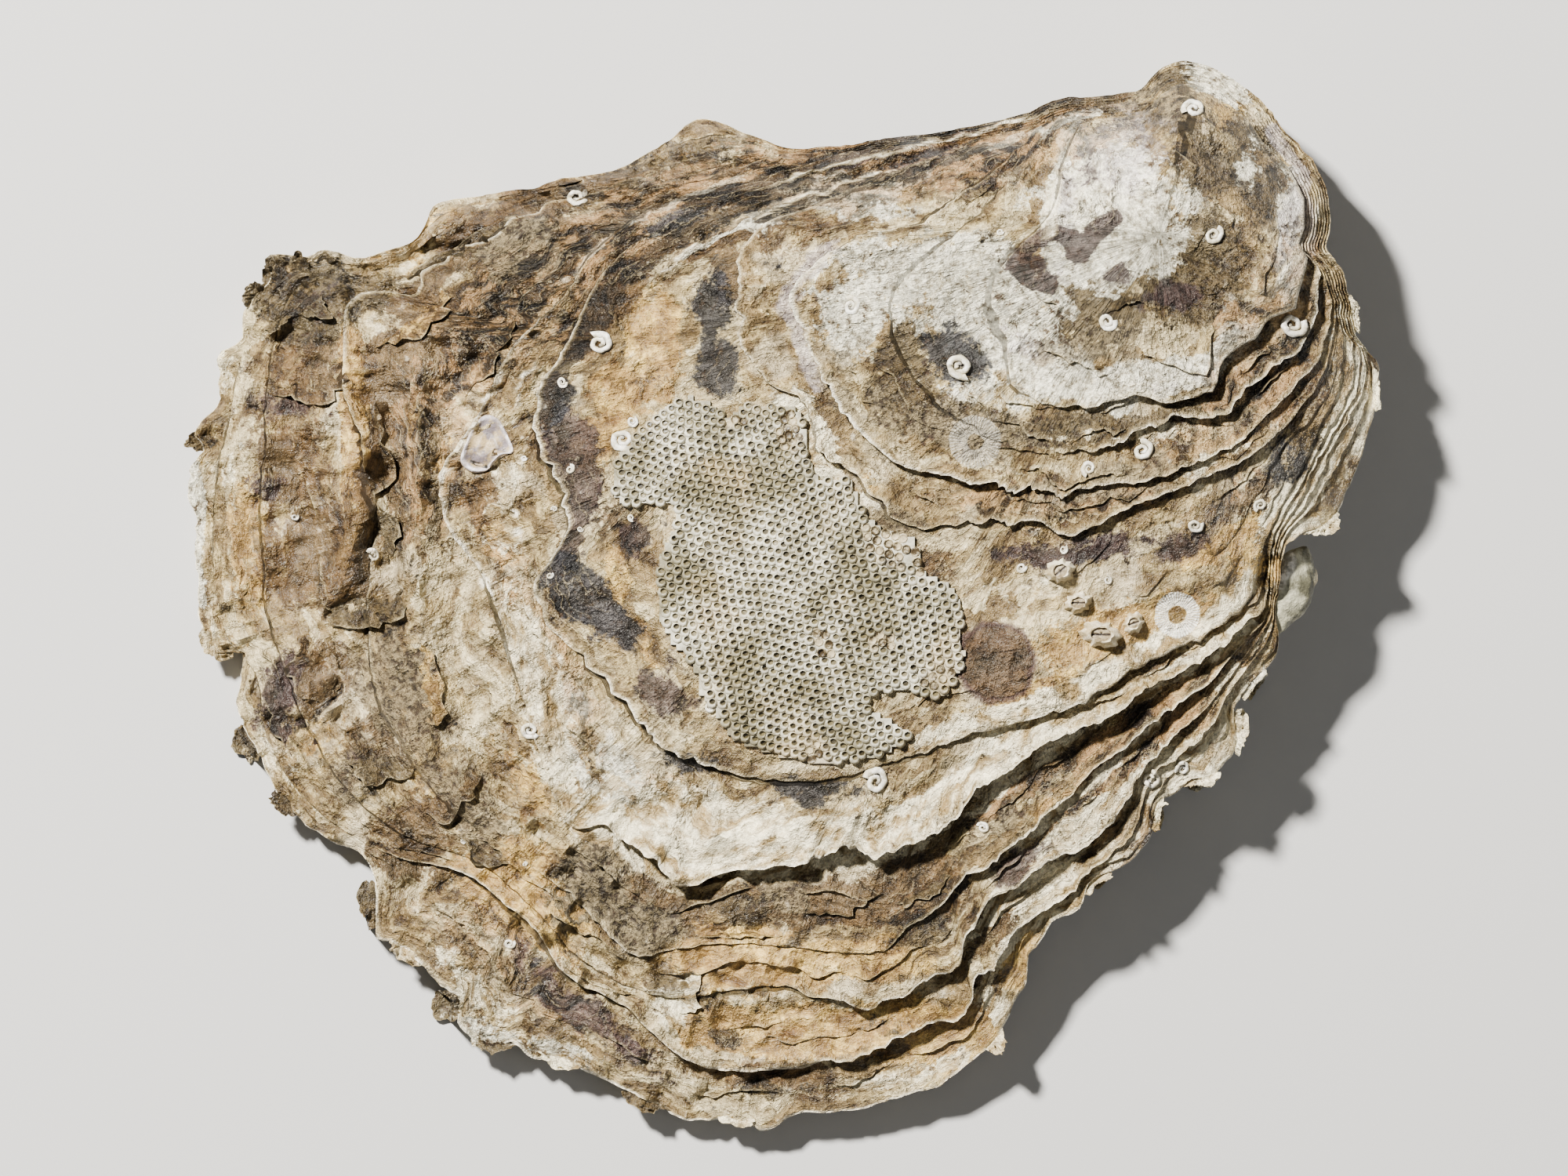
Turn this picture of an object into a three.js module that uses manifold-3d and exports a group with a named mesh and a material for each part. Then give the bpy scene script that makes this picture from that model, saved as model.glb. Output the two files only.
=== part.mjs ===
// One valve of a large oyster, lying with its outer side up, with the small animals that grew on it.
// Millimetres, +Z up. Seen from above, +X is to the right and +Y is away from the viewer.
import * as THREE from 'three';
import { ParametricGeometry } from 'three/addons/geometries/ParametricGeometry.js';
import { mergeVertices } from 'three/addons/utils/BufferGeometryUtils.js';
import Module from 'manifold-3d';

const wasm = await Module();
wasm.setup();

// The whole shape is drawn on a plan whose point (0, 0) is the middle of the picture. This moves the
// middle of the shell's box to the origin.
const PLAN_TO_ORIGIN = [0.2, 0.85];

// Sizes of the valve
const DOME_TOP = 20;            // highest point of the outer side above the surface that it rests on
const FOCUS = [33, 31];         // plan of the dome's top, from which the growth rays fan out
const COLUMNS = 80;             // facets round the valve
const WALL_AT_MARGIN = 1.3;
const WALL_AT_DOME = 5.0;
const HINGE = { at: [40, 41], reach: 8.5, thick: 17 };   // the solid block under the beak
const LEAST_STEP = 0.16;        // every growth line drops at least this much
const RAY_BEND = 0.3;           // how early a ray turns to meet the margin squarely
const RING_GAP = 0.35;          // least distance between two growth lines
const LIP_EDGE = [0.1, 0.5];    // thickness of a fading lip, and how much thicker a strong one is
const LIP_BACK = 0.04;          // every growth line goes back at least this much under the lip before it
const LIP_FACE = 0.02;          // how far a lip's edge leans outwards
const TUCK_LIMIT = 0.45;        // largest share of a band that may lie under its lip
const EDGE_ROOM = 0.1;          // least height left open between a lip and the layer under it
const THINNEST_MARGIN = 0.9;
const EDGE_LEAN = 0.1;          // how far the margin's wall leans in towards its underside

// Smooth curve just outside the margin: x, y, height of the outer side there, height of the underside
// there, and how the flank falls (1.4 straight, 2.4 bulging).
const GUIDE = [
  [36, 48, 6.8, 0, 2.3], [29.5, 45.8, 6.6, 0.8, 2.2], [18, 44, 5.6, 3, 1.9], [7, 42.6, 4.2, 2.4, 1.8],
  [-6, 44, 3, 1.4, 1.7], [-18, 40, 2.5, 1, 1.6], [-32, 36, 2.1, 0.7, 1.5], [-46.5, 32, 1.8, 0.3, 1.5],
  [-54, 21, 1.5, 0.1, 1.5], [-56, 6, 1.4, 0, 1.5], [-53.5, -9, 1.6, 0.1, 1.5], [-45, -24, 2.2, 0.8, 1.6],
  [-35, -38, 2.4, 1, 1.6], [-20, -46, 2.1, 0.4, 1.6], [-3, -51, 2, 0, 1.7], [13, -47.5, 3.2, 1.2, 1.8],
  [24, -37, 5, 3.2, 1.9], [36, -23.5, 6.6, 4.6, 2], [46, -9.5, 6.8, 4.6, 2.1], [53, 6, 6, 3.8, 2.2],
  [56, 20, 5, 2.6, 2.3], [52.5, 34, 5, 0.8, 2.4], [46.6, 42.2, 5.8, 0, 2.3], [41.6, 46.6, 6.6, 0, 2.3],
];

// Growth lines from the dome outwards, each a closed outline that starts at the beak and runs along the
// top edge, down the left, along the bottom and up the right. lift is how far its lip stands up, tuck
// how far the surface goes back under the lip and drop how deep it goes there. Each spot is x, y, reach
// and strength of that ledge: it is strong at its spots and fades to a fine line between them.
const RINGS = [
  { name: 'dome lip', lift: 0.9, tuck: 1.1, drop: 0.9,
    spots: [[44, 25, 7, 0.6], [38, 18.5, 6, 0.75], [30, 16.5, 6, 0.5], [47, 33, 6, 0.5]],
    line: [[34.5, 46], [31, 43.9], [28, 42.6], [25.8, 40], [24.5, 36.5], [23.4, 33], [19, 28], [18.2, 25.4],
      [19.5, 22], [20.2, 18.1], [21.6, 16.9], [26.5, 15.8], [31.3, 17], [35.1, 16], [37.6, 17.4],
      [39, 20.5], [42.9, 23.4], [44.9, 25.1], [46.2, 28], [46.9, 31], [46.8, 34], [45.6, 37], [43.6, 40],
      [41.4, 42.8], [38.3, 45.3]] },
  { name: 'second lip', lift: 0.7, tuck: 1.2, drop: 0.8,
    spots: [[44, 20, 6, 0.5], [38, 15, 6, 0.5], [31, 13.5, 5, 0.5], [47.5, 26, 5, 0.4]],
    line: [[34.3, 46.2], [30.8, 44.1], [27.5, 43.1], [24, 41.2], [21, 37.5], [17.5, 33], [12.5, 29],
      [9.5, 25.5], [10, 21.5], [12.5, 17.5], [16.5, 14], [21, 12.5], [28, 12.2], [31, 13.5], [34.5, 14.8],
      [37.8, 15], [40, 16.7], [42.1, 18.6], [45, 20.7], [46, 22.2], [47.1, 24.5], [47.5, 27], [47.5, 33],
      [46.9, 36], [45.2, 38.8], [43.2, 41.2], [41.2, 43.5], [38.3, 45.6]] },
  { name: 'white lip', lift: 0.8, tuck: 0.6, drop: 0.6,
    spots: [[1, 25, 7, 0.9], [6, 14, 8, 1], [18, 9, 9, 0.7], [33, 10, 9, 0.5], [46, 19, 6, 0.4],
      [9, 32, 6, 0.6]],
    line: [[34.1, 46.3], [30.5, 44.2], [26.5, 43.3], [23, 41.3], [20.4, 38.4], [16.3, 35.2], [12.2, 32.3],
      [9.8, 31.5], [7.3, 31.3], [3.2, 29.1], [0.6, 26.2], [0.5, 24.8], [1.8, 21.2], [4, 17.3], [7.1, 13.4],
      [11, 10.5], [14.6, 9.8], [20.9, 8.5], [25, 8.3], [30.7, 9.2], [35.5, 10.4], [37.9, 11.6], [40, 12.6],
      [42.7, 15.3], [45.1, 17.7], [47, 20.1], [48, 22.8], [48.2, 26], [47.8, 33.5], [47.2, 36.5],
      [45.6, 39.2], [43.5, 41.5], [41.5, 43.8], [38.4, 45.8]] },
  { name: 'wavy lip', lift: 0.9, tuck: 0.9, drop: 0.7,
    spots: [[22, 5.5, 9, 0.4], [34, 8.5, 8, 0.45], [43, 13, 6, 0.3], [3, 10, 6, 0.5], [-3.5, 25, 9, 0.5]],
    line: [[33.8, 46.3], [30.2, 44.2], [26, 43.3], [21, 41.6], [15, 38.9], [8, 36], [2, 33.5], [-2, 32],
      [-3.9, 29], [-4, 25], [-3.4, 20.4], [-1, 18], [1.6, 16.3], [2.8, 14.2], [3.2, 11.8], [6.4, 10.2],
      [8.6, 7], [12, 5.2], [20, 5.9], [23.7, 5.1], [25.5, 4.9], [28.3, 5.9], [30.2, 6.9], [32.6, 7.8],
      [37.9, 10], [40.3, 11.2], [44, 14], [47, 18], [48.5, 22], [48.7, 26], [48.2, 30], [48, 34],
      [47.4, 36.8], [45.8, 39.4], [43.6, 41.7], [41.7, 44], [38.4, 45.9]] },
  { name: 'inner plateau line', lift: 0.6, tuck: 0.5, drop: 0.4,
    spots: [[-21, 16, 8, 0.8], [-20, 3, 8, 0.7], [-12, -13, 10, 0.8], [24, -11, 10, 0.9], [36, -4, 7, 0.7]],
    line: [[33.6, 46.2], [30, 44.1], [24.8, 43.1], [17, 40.6], [11.4, 39.4], [2.5, 36.8], [-2.3, 35.3],
      [-8.8, 33], [-12.4, 31], [-16.3, 27.4], [-20, 20], [-21.8, 17.8], [-21.8, 14.6], [-20.6, 9.8],
      [-19.1, 5.7], [-20.8, 2.3], [-22.2, 0], [-20, -4], [-17.5, -6.2], [-14.5, -10], [-11, -13.5],
      [-5, -16.3], [0, -17], [6, -16.5], [12, -14.5], [18, -12.5], [24.6, -10.9], [30.9, -7.3],
      [34.8, -5.1], [39.1, -3], [40.5, -1.8], [41.6, 0], [42.6, 4.5], [44.9, 9], [47.2, 14], [49, 18],
      [49.4, 22], [49, 26], [48.4, 30], [48.1, 34], [47.5, 37], [45.9, 39.5], [43.7, 41.9], [41.8, 44.1],
      [38.4, 46]] },
  { name: 'plateau lip', lift: 1.3, tuck: 2.6, drop: 1.1,
    spots: [[0, -25, 9, 1], [14, -21, 8, 1], [27, -12, 9, 0.9], [-11, -25, 6, 0.9], [-30, 9, 8, 0.5],
      [-22, -14, 7, 0.3], [38, -5, 6, 0.6], [-22, 23, 7, 0.3]],
    line: [[33.4, 46.3], [29.6, 44], [24.8, 43.2], [17, 40.8], [10, 39.7], [4, 38.1], [-1.8, 36.3],
      [-9.5, 34.3], [-12, 33.5], [-16.8, 29.6], [-19.4, 26], [-23.5, 21.8], [-26.6, 16.3], [-29.5, 12],
      [-30.5, 9], [-29.9, 5.7], [-26.8, 1.4], [-24.9, -3.5], [-23.5, -8.6], [-22.7, -11], [-20.1, -19.4],
      [-18.6, -21.3], [-15.6, -20.9], [-12.2, -23.6], [-9.8, -26.3], [-8.6, -26.4], [-5.1, -25.1],
      [0, -24.5], [3.4, -23.5], [5.5, -23.2], [7, -23.9], [11.3, -22.7], [15.7, -19.8], [17.1, -17.9],
      [20, -16], [22.5, -14], [25.5, -13], [30.9, -9.9], [35, -7.5], [39.3, -4.6], [41, -2.9],
      [42.2, -2.2], [42.7, -0.8], [43.2, 4.5], [45.6, 9], [48.1, 14], [50.2, 18], [50.4, 22], [49.5, 26],
      [48.6, 30], [48.3, 34], [47.7, 37], [46.1, 39.8], [43.9, 42.1], [42, 44.3], [38.4, 46.1]] },
  { name: 'frilled lip', lift: 0.8, tuck: 1, drop: 0.5,
    spots: [[-28, 30, 8, 0.6], [-38, 22, 8, 0.35], [20, -23, 9, 0.8], [34, -11, 7, 0.8], [-37, 2, 9, 0.4],
      [-16, -30, 7, 0.4]],
    line: [[33.3, 46.2], [29.4, 43.8], [24.8, 43.2], [17, 40.85], [10, 39.8], [-1.6, 38.2], [-9.5, 36.3],
      [-14, 34.9], [-21, 34.2], [-21.8, 33.2], [-24.2, 32.8], [-25.6, 31.1], [-29, 30.4], [-32.1, 27.8],
      [-32.6, 26], [-35.3, 26.3], [-37.9, 26], [-38.9, 25], [-39.1, 20.2], [-38.2, 15.4], [-37, 8.6],
      [-36, 6.4], [-37, -1], [-36.5, -8], [-34.5, -13], [-31, -18], [-27.5, -21.2], [-23.5, -23.8],
      [-20.4, -26.2], [-17, -29.2], [-15.3, -31.1], [-13, -32.6], [-9, -32], [-4, -31.5], [2, -32],
      [8.9, -32.1], [10.9, -30.2], [14.7, -27.3], [19.1, -23.4], [22.7, -20.7], [24.4, -19.3],
      [27.8, -15.6], [30, -14.1], [33.8, -11.1], [37.4, -8.5], [39.1, -6.5], [40.8, -4.6], [42.6, -2.6],
      [43.1, -0.8], [43.5, 4.5], [45.9, 8.8], [48.6, 14], [50.8, 18], [50.8, 22], [49.7, 26], [48.7, 30],
      [48.4, 34], [47.8, 37], [46.2, 39.9], [44, 42.2], [42.1, 44.4], [38.45, 46.15]] },
  { name: 'third lip', lift: 0.9, tuck: 1.3, drop: 0.8,
    spots: [[9, -37, 5, 0.8], [16, -31, 6, 1], [25, -23, 7, 0.9], [32, -15, 6, 0.6]],
    line: [[33.2, 46.1], [29.2, 43.7], [24.8, 43.2], [17, 40.9], [10, 39.85], [4, 38.9], [-5, 38.9],
      [-9.5, 38.3], [-14, 36.4], [-18, 35.8], [-25, 34.4], [-28, 33.2], [-31, 31.2], [-34, 29],
      [-37.5, 28.2], [-41, 27.8], [-43.5, 26.5], [-45, 23], [-46, 18], [-46, 13], [-46.5, 8], [-46, -2],
      [-44.5, -7], [-42.5, -12], [-39.5, -17], [-36, -20.5], [-32.5, -22.6], [-29, -23.6], [-26.2, -25],
      [-23.4, -27.2], [-21, -29.6], [-19.3, -31.9], [-17, -33.7], [-13.5, -35.5], [-10, -36.4],
      [-6.8, -36], [-2.2, -35.4], [0.5, -35.3], [2.7, -36.4], [5.1, -36.6], [7.7, -37.4], [10.9, -36.2],
      [12.1, -35], [15.8, -33.3], [15.9, -31.6], [17.5, -28.5], [20.8, -26.3], [24, -23.9], [26.9, -22.8],
      [30, -19.4], [31.2, -17], [33, -14.6], [37, -11], [38.6, -9], [40.3, -6.7], [42, -4.4], [43, -2.6],
      [43.4, -0.8], [43.8, 4.4], [46.4, 8], [49, 13.5], [51.4, 18], [51.1, 22], [49.9, 26], [48.8, 30],
      [48.5, 34], [47.9, 37], [46.3, 40], [44.1, 42.3], [42.2, 44.5], [38.5, 46.2]] },
  { name: 'last lip', lift: 0.8, tuck: 1.1, drop: 0.6,
    spots: [[10, -40, 7, 0.9], [18, -34, 6, 0.9], [24, -28, 6, 0.7], [-5, -43, 7, 0.7], [-19, -34, 8, 0.6],
      [-28, -25.5, 6, 0.6], [37, -13, 6, 0.5]],
    line: [[33, 46], [29, 43.6], [24.8, 43.2], [17, 40.9], [10, 39.87], [4, 38.95], [-1.6, 39.5],
      [-5, 40.2], [-9, 39.5], [-14, 37], [-18, 36.2], [-25, 34.9], [-28, 34.2], [-31, 32.6], [-34, 29.8],
      [-37.7, 28.8], [-41.5, 29], [-44, 28], [-46.2, 25], [-48.3, 20.5], [-49.3, 15.5], [-50.4, 10],
      [-50.8, 5], [-50.6, 0], [-49.5, -4.5], [-46.8, -8], [-46.3, -12], [-43.6, -17.7], [-39.5, -21.3],
      [-36, -23.3], [-33, -24.3], [-27.9, -25.6], [-24.3, -28.4], [-22.1, -30.4], [-20.9, -32.3],
      [-17.3, -35.6], [-14.6, -37.1], [-12.5, -38.8], [-10, -41.2], [-8.1, -42.3], [-5.2, -43],
      [1.7, -42.7], [5.1, -42.1], [6.8, -41.4], [11.4, -39.4], [15, -38.6], [16.9, -36.2], [16.8, -35],
      [19.3, -32.3], [20.3, -30.2], [23.4, -28.5], [26.8, -25.4], [31, -21.5], [32.8, -16.6],
      [36.6, -13.6], [38.3, -11.5], [39.2, -9.5], [41, -7], [42.6, -5], [43.3, -3], [43.6, -0.8],
      [44.1, 4.2], [46.9, 7.5], [49.8, 12.5], [51.8, 18], [51.2, 21.5], [50, 26], [48.9, 30], [48.6, 34],
      [48, 37], [46.4, 40.1], [44.2, 42.5], [42.3, 44.6], [38.5, 46.3]] },
  { name: 'margin', lift: 0, tuck: 0, drop: 0, spots: [],
    line: [[35.2, 46.7], [33.5, 46.1], [31.5, 44.1], [28.4, 43.6], [24.8, 43.3], [21, 42], [13.4, 40.3],
      [6.9, 39.4], [0.1, 39], [-3.8, 40.5], [-7.9, 41.7], [-11, 39.3], [-15.1, 37.1], [-20, 36.4],
      [-24.7, 35.3], [-31.2, 34], [-32.9, 30.8], [-37.9, 29.3], [-41.1, 30.1], [-45.6, 29.6],
      [-45.8, 27.2], [-48.1, 24.5], [-48.4, 22.1], [-50.5, 20.7], [-50.6, 16.3], [-52.7, 13.9],
      [-53, 10.5], [-52.4, 5.9], [-52.2, 0.6], [-51.7, -4.5], [-51, -6], [-48.3, -5.7], [-48.8, -10.3],
      [-46.6, -15.1], [-44, -19.7], [-41.8, -21.6], [-37.9, -23.5], [-36.3, -27.2], [-36.1, -31.1],
      [-32.7, -33.1], [-28.9, -36.7], [-29.1, -38.6], [-26.2, -41.4], [-24.3, -40.4], [-22.3, -42.1],
      [-17.3, -43.2], [-12.5, -45.6], [-9.3, -47.2], [-3.3, -47.7], [-1.6, -48.4], [1, -46.8],
      [7.5, -46.1], [14, -44.2], [18.1, -41], [20.3, -37.2], [21.7, -32.8], [24.1, -29.4], [26.2, -28.4],
      [27.2, -25.9], [31.4, -23.5], [32.7, -20.3], [33.1, -18.9], [36.2, -16.9], [38.9, -15.7],
      [40.1, -14.3], [40.1, -10], [43.4, -6.5], [43.8, -4.2], [43.5, -2.5], [43.7, -0.6], [44.3, 3.9],
      [47.5, 5.4], [50, 8.5], [51.5, 13.1], [52.5, 17.6], [52.6, 19.9], [50.2, 22.9], [50, 25.1],
      [49.4, 27.8], [47.9, 30], [48.3, 31.9], [48.2, 34.3], [46.9, 37.9], [45.3, 39.6], [42.4, 42.9],
      [40.5, 44.5], [36.8, 46.5]] },
];

// Body forms that stand out from the even dome: x, y, reach and height.
const SWELLS = [[14, 26, 7, 0.8], [-14, 10, 12, 0.9], [-30, 25, 7, 0.7], [-40, 3, 8, -0.5], [20, -6, 10, 0.6],
  [37, 42, 4, 1]];

const smooth = (t) => t * t * (3 - 2 * t);
const mix = (a, b, t) => a + (b - a) * t;

// Angle and distance of a plan point from the focus
function polar(x, y) {
  const dx = x - FOCUS[0];
  const dy = y - FOCUS[1];
  return [Math.atan2(dy, dx), Math.hypot(dx, dy)];
}

const guideStops = GUIDE.map(([x, y, top, under, fall]) => {
  const [angle, reach] = polar(x, y);
  return { angle, reach, top, under, fall };
}).sort((a, b) => a.angle - b.angle);

// Values of the guide in one direction from the focus
function guideAt(angle) {
  const n = guideStops.length;
  let i = guideStops.findIndex((stop) => stop.angle > angle);
  if (i < 0) i = 0;
  const a = guideStops[(i + n - 1) % n];
  const b = guideStops[i];
  const turn = 2 * Math.PI;
  const span = (b.angle - a.angle + turn) % turn;
  const t = smooth(((angle - a.angle + turn) % turn) / span);
  return {
    reach: mix(a.reach, b.reach, t),
    top: mix(a.top, b.top, t),
    under: mix(a.under, b.under, t),
    fall: mix(a.fall, b.fall, t),
  };
}

// Height of the outer side without its ledges
function bodyHeight(x, y) {
  const [angle, distance] = polar(x, y);
  const g = guideAt(angle);
  const out = Math.min(distance / g.reach, 1);
  let z = g.top + (DOME_TOP - g.top) * (1 - out ** g.fall);
  for (const [sx, sy, reach, height] of SWELLS) {
    z += height * Math.exp(-((x - sx) ** 2 + (y - sy) ** 2) / reach ** 2);
  }
  return z;
}

// Height of the inner side: thin at the margin, thicker under the dome, solid down to the resting
// plane under the hinge.
function underHeight(x, y) {
  const [angle, distance] = polar(x, y);
  const g = guideAt(angle);
  const out = Math.min(distance / g.reach, 1);
  const wall = mix(WALL_AT_MARGIN, WALL_AT_DOME, 1 - out ** 4);
  const rim = smooth(Math.max(0, (out - 0.8) / 0.2));
  const near = ((x - HINGE.at[0]) ** 2 + (y - HINGE.at[1]) ** 2) / HINGE.reach ** 2;
  const block = HINGE.thick * Math.exp(-near);
  return Math.max(0, mix(bodyHeight(x, y) - wall, g.under, rim) - block);
}

const closedCurve = (points) => new THREE.CatmullRomCurve3(
  points.map(([x, y]) => new THREE.Vector3(x, y, 0)), true, 'centripetal');

function inside(polygon, x, y) {
  let odd = false;
  for (let i = 0, j = polygon.length - 1; i < polygon.length; j = i++) {
    const a = polygon[i];
    const b = polygon[j];
    if ((a.y > y) !== (b.y > y) && x < ((b.x - a.x) * (y - a.y)) / (b.y - a.y) + a.x) odd = !odd;
  }
  return odd;
}

const guideCurve = closedCurve(GUIDE);
const ringPolygons = RINGS.map(({ line }) => closedCurve(line).getPoints(line.length * 4));

// Plan of one growth ray, bent so that it leaves the focus straight and meets the margin squarely
function growthRay(u) {
  const end = guideCurve.getPointAt(u);
  const along = guideCurve.getTangentAt(u);
  const focus = new THREE.Vector3(FOCUS[0], FOCUS[1], 0);
  const length = end.distanceTo(focus);
  const outward = new THREE.Vector3(-along.y, along.x, 0);
  if (outward.dot(end.clone().sub(focus)) < 0) outward.negate();
  const bend = end.clone().addScaledVector(outward, -RAY_BEND * length);
  return { length, curve: new THREE.QuadraticBezierCurve3(focus, bend, end) };
}

// How far along a ray each ring lies, kept in order with a least gap
function crossings(ray) {
  const at = ringPolygons.map((polygon) => {
    let near = 0;
    let far = 1;
    for (let i = 0; i < 22; i++) {
      const t = (near + far) / 2;
      const p = ray.curve.getPoint(t);
      if (inside(polygon, p.x, p.y)) near = t;
      else far = t;
    }
    return near;
  });
  const gap = RING_GAP / ray.length;
  for (let k = at.length - 2; k >= 0; k--) at[k] = Math.min(at[k], at[k + 1] - gap);
  return at;
}

function strengthAt(ring, x, y) {
  let weak = 1;
  for (const [sx, sy, reach, strength] of ring.spots) {
    weak *= 1 - strength * Math.exp(-((x - sx) ** 2 + (y - sy) ** 2) / reach ** 2);
  }
  return 1 - weak;
}

// One column of the surface, from the top of the dome over every ledge to the margin, and back
// underneath to the point below the focus
const UNDER_STEPS = [0.985, 0.93, 0.83, 0.7, 0.52, 0.32, 0.14];
function column(u) {
  const ray = growthRay(u);
  const at = crossings(ray);
  const rows = [];
  const put = (t, z) => {
    const p = ray.curve.getPoint(t);
    rows.push([p.x, p.y, z]);
  };
  const bare = (t) => {
    const p = ray.curve.getPoint(t);
    return bodyHeight(p.x, p.y);
  };
  put(0, DOME_TOP);
  let root = 0;
  let rootDrop = 0;
  RINGS.forEach((ring, k) => {
    const tip = ray.curve.getPoint(at[k]);
    const strength = strengthAt(ring, tip.x, tip.y);
    const lift = strength * ring.lift;
    const steps = k === 0 ? [0.35, 0.7] : [0.5];
    for (const s of steps) {
      const t = mix(root, at[k], s);
      put(t, bare(t) + mix(-rootDrop, lift, s * s));
    }
    const lipTop = bodyHeight(tip.x, tip.y) + lift;
    put(at[k], lipTop);
    if (k === RINGS.length - 1) return;
    const band = at[k] - root;
    const edge = LIP_EDGE[0] + LIP_EDGE[1] * strength;
    const back = Math.min((strength * ring.tuck) / ray.length, band * TUCK_LIMIT);
    const next = at[k] - back - LIP_BACK / ray.length;
    const drop = LEAST_STEP + strength * ring.drop;
    put(at[k] - LIP_FACE / ray.length, lipTop - edge);
    const over = bare(next) + mix(-rootDrop, lift, ((next - root) / band) ** 2);
    const rootHeight = Math.min(bare(next) - drop, Math.min(over, lipTop) - edge - EDGE_ROOM);
    put(next, rootHeight);
    root = next;
    rootDrop = bare(next) - rootHeight;
  });
  const edge = at[at.length - 1];
  const rim = ray.curve.getPoint(edge);
  const rimUnder = Math.min(underHeight(rim.x, rim.y), bodyHeight(rim.x, rim.y) - THINNEST_MARGIN);
  put(edge - EDGE_LEAN / ray.length, rimUnder);
  for (const s of UNDER_STEPS) {
    const p = ray.curve.getPoint(edge * s);
    rows.push([p.x, p.y, underHeight(p.x, p.y)]);
  }
  rows.push([FOCUS[0], FOCUS[1], underHeight(...FOCUS)]);
  return rows;
}

// Merges shared corners and drops triangles that have shrunk to nothing, which closes the surface
function closed(geometry) {
  geometry.deleteAttribute('normal');
  geometry.deleteAttribute('uv');
  const merged = mergeVertices(geometry, 1e-3);
  const index = merged.index.array;
  const kept = [];
  for (let i = 0; i < index.length; i += 3) {
    const [a, b, c] = [index[i], index[i + 1], index[i + 2]];
    if (a !== b && b !== c && c !== a) kept.push(a, b, c);
  }
  merged.setIndex(kept);
  return merged;
}

const group = new THREE.Group();

function addMesh(name, geometry, { color, roughness }) {
  const material = new THREE.MeshStandardMaterial({ color, roughness, metalness: 0 });
  const mesh = new THREE.Mesh(geometry, material);
  mesh.name = name;
  mesh.position.set(PLAN_TO_ORIGIN[0], PLAN_TO_ORIGIN[1], 0);
  group.add(mesh);
  return mesh;
}

function valveGeometry() {
  const columns = Array.from({ length: COLUMNS }, (_, i) => column(i / COLUMNS));
  const last = columns[0].length - 1;
  const surface = (u, v, target) => {
    const [x, y, z] = columns[(COLUMNS - Math.round(u * COLUMNS)) % COLUMNS][Math.round(v * last)];
    target.set(x, y, z);
  };
  return closed(new ParametricGeometry(surface, COLUMNS, last));
}

const valve = addMesh('valve', valveGeometry(), { color: 0xb59a68, roughness: 0.75 });
valve.updateMatrixWorld(true);

// Solids for cutting. A closed geometry becomes a solid and a cut solid becomes a geometry again.
function solidOf(geometry) {
  return new wasm.Manifold(new wasm.Mesh({
    numProp: 3,
    vertProperties: new Float32Array(geometry.attributes.position.array),
    triVerts: new Uint32Array(geometry.index.array),
  }));
}

// Cutting can leave loose slivers, so only the largest piece becomes the geometry
function geometryOf(solid) {
  const pieces = solid.decompose().sort((a, b) => b.volume() - a.volume());
  const { vertProperties, triVerts } = pieces[0].getMesh();
  const geometry = new THREE.BufferGeometry();
  geometry.setAttribute('position', new THREE.BufferAttribute(vertProperties, 3));
  geometry.setIndex(new THREE.BufferAttribute(triVerts, 1));
  return geometry;
}

const GAP = 0.3;                // clear space between the valve and what grew on it
const valveSolid = solidOf(valve.geometry);
const valveWithGap = [[0, 0, 1], [0, 0, -1], [1, 0, 0], [-1, 0, 0], [0, 1, 0], [0, -1, 0]].map(
  (way) => valveSolid.translate(way.map((step) => step * GAP)));

// What is left of a solid outside the valve and the gap round it
function clearOfValve(geometry) {
  return geometryOf(valveWithGap.reduce((left, cutter) => left.subtract(cutter), solidOf(geometry)));
}

const PROBES = 12;              // directions in which the ground under a piece is measured

// Height of the finished outer side, ledges included
const raycaster = new THREE.Raycaster();
function surfaceHeight(x, y) {
  const above = new THREE.Vector3(x + PLAN_TO_ORIGIN[0], y + PLAN_TO_ORIGIN[1], 3 * DOME_TOP);
  raycaster.set(above, new THREE.Vector3(0, 0, -1));
  return raycaster.intersectObject(valve)[0].point.z;
}

// Stands a piece built round +Y, with its base at 0, on the valve at a plan point: square to the slope
// there and just high enough for its base to clear every bump under it
function standOn(geometry, x, y, reach) {
  const slopeX = (surfaceHeight(x + reach, y) - surfaceHeight(x - reach, y)) / (2 * reach);
  const slopeY = (surfaceHeight(x, y + reach) - surfaceHeight(x, y - reach)) / (2 * reach);
  let height = surfaceHeight(x, y);
  for (const ring of [reach, 0.6 * reach]) {
    for (let i = 0; i < PROBES; i++) {
      const angle = (2 * Math.PI * i) / PROBES;
      const dx = ring * Math.cos(angle);
      const dy = ring * Math.sin(angle);
      height = Math.max(height, surfaceHeight(x + dx, y + dy) - slopeX * dx - slopeY * dy);
    }
  }
  const normal = new THREE.Vector3(-slopeX, -slopeY, 1).normalize();
  const turn = new THREE.Quaternion().setFromUnitVectors(new THREE.Vector3(0, 1, 0), normal);
  const place = new THREE.Vector3(x, y, height).addScaledVector(normal, GAP);
  return geometry.applyMatrix4(new THREE.Matrix4().compose(place, turn, new THREE.Vector3(1, 1, 1)));
}

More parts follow.
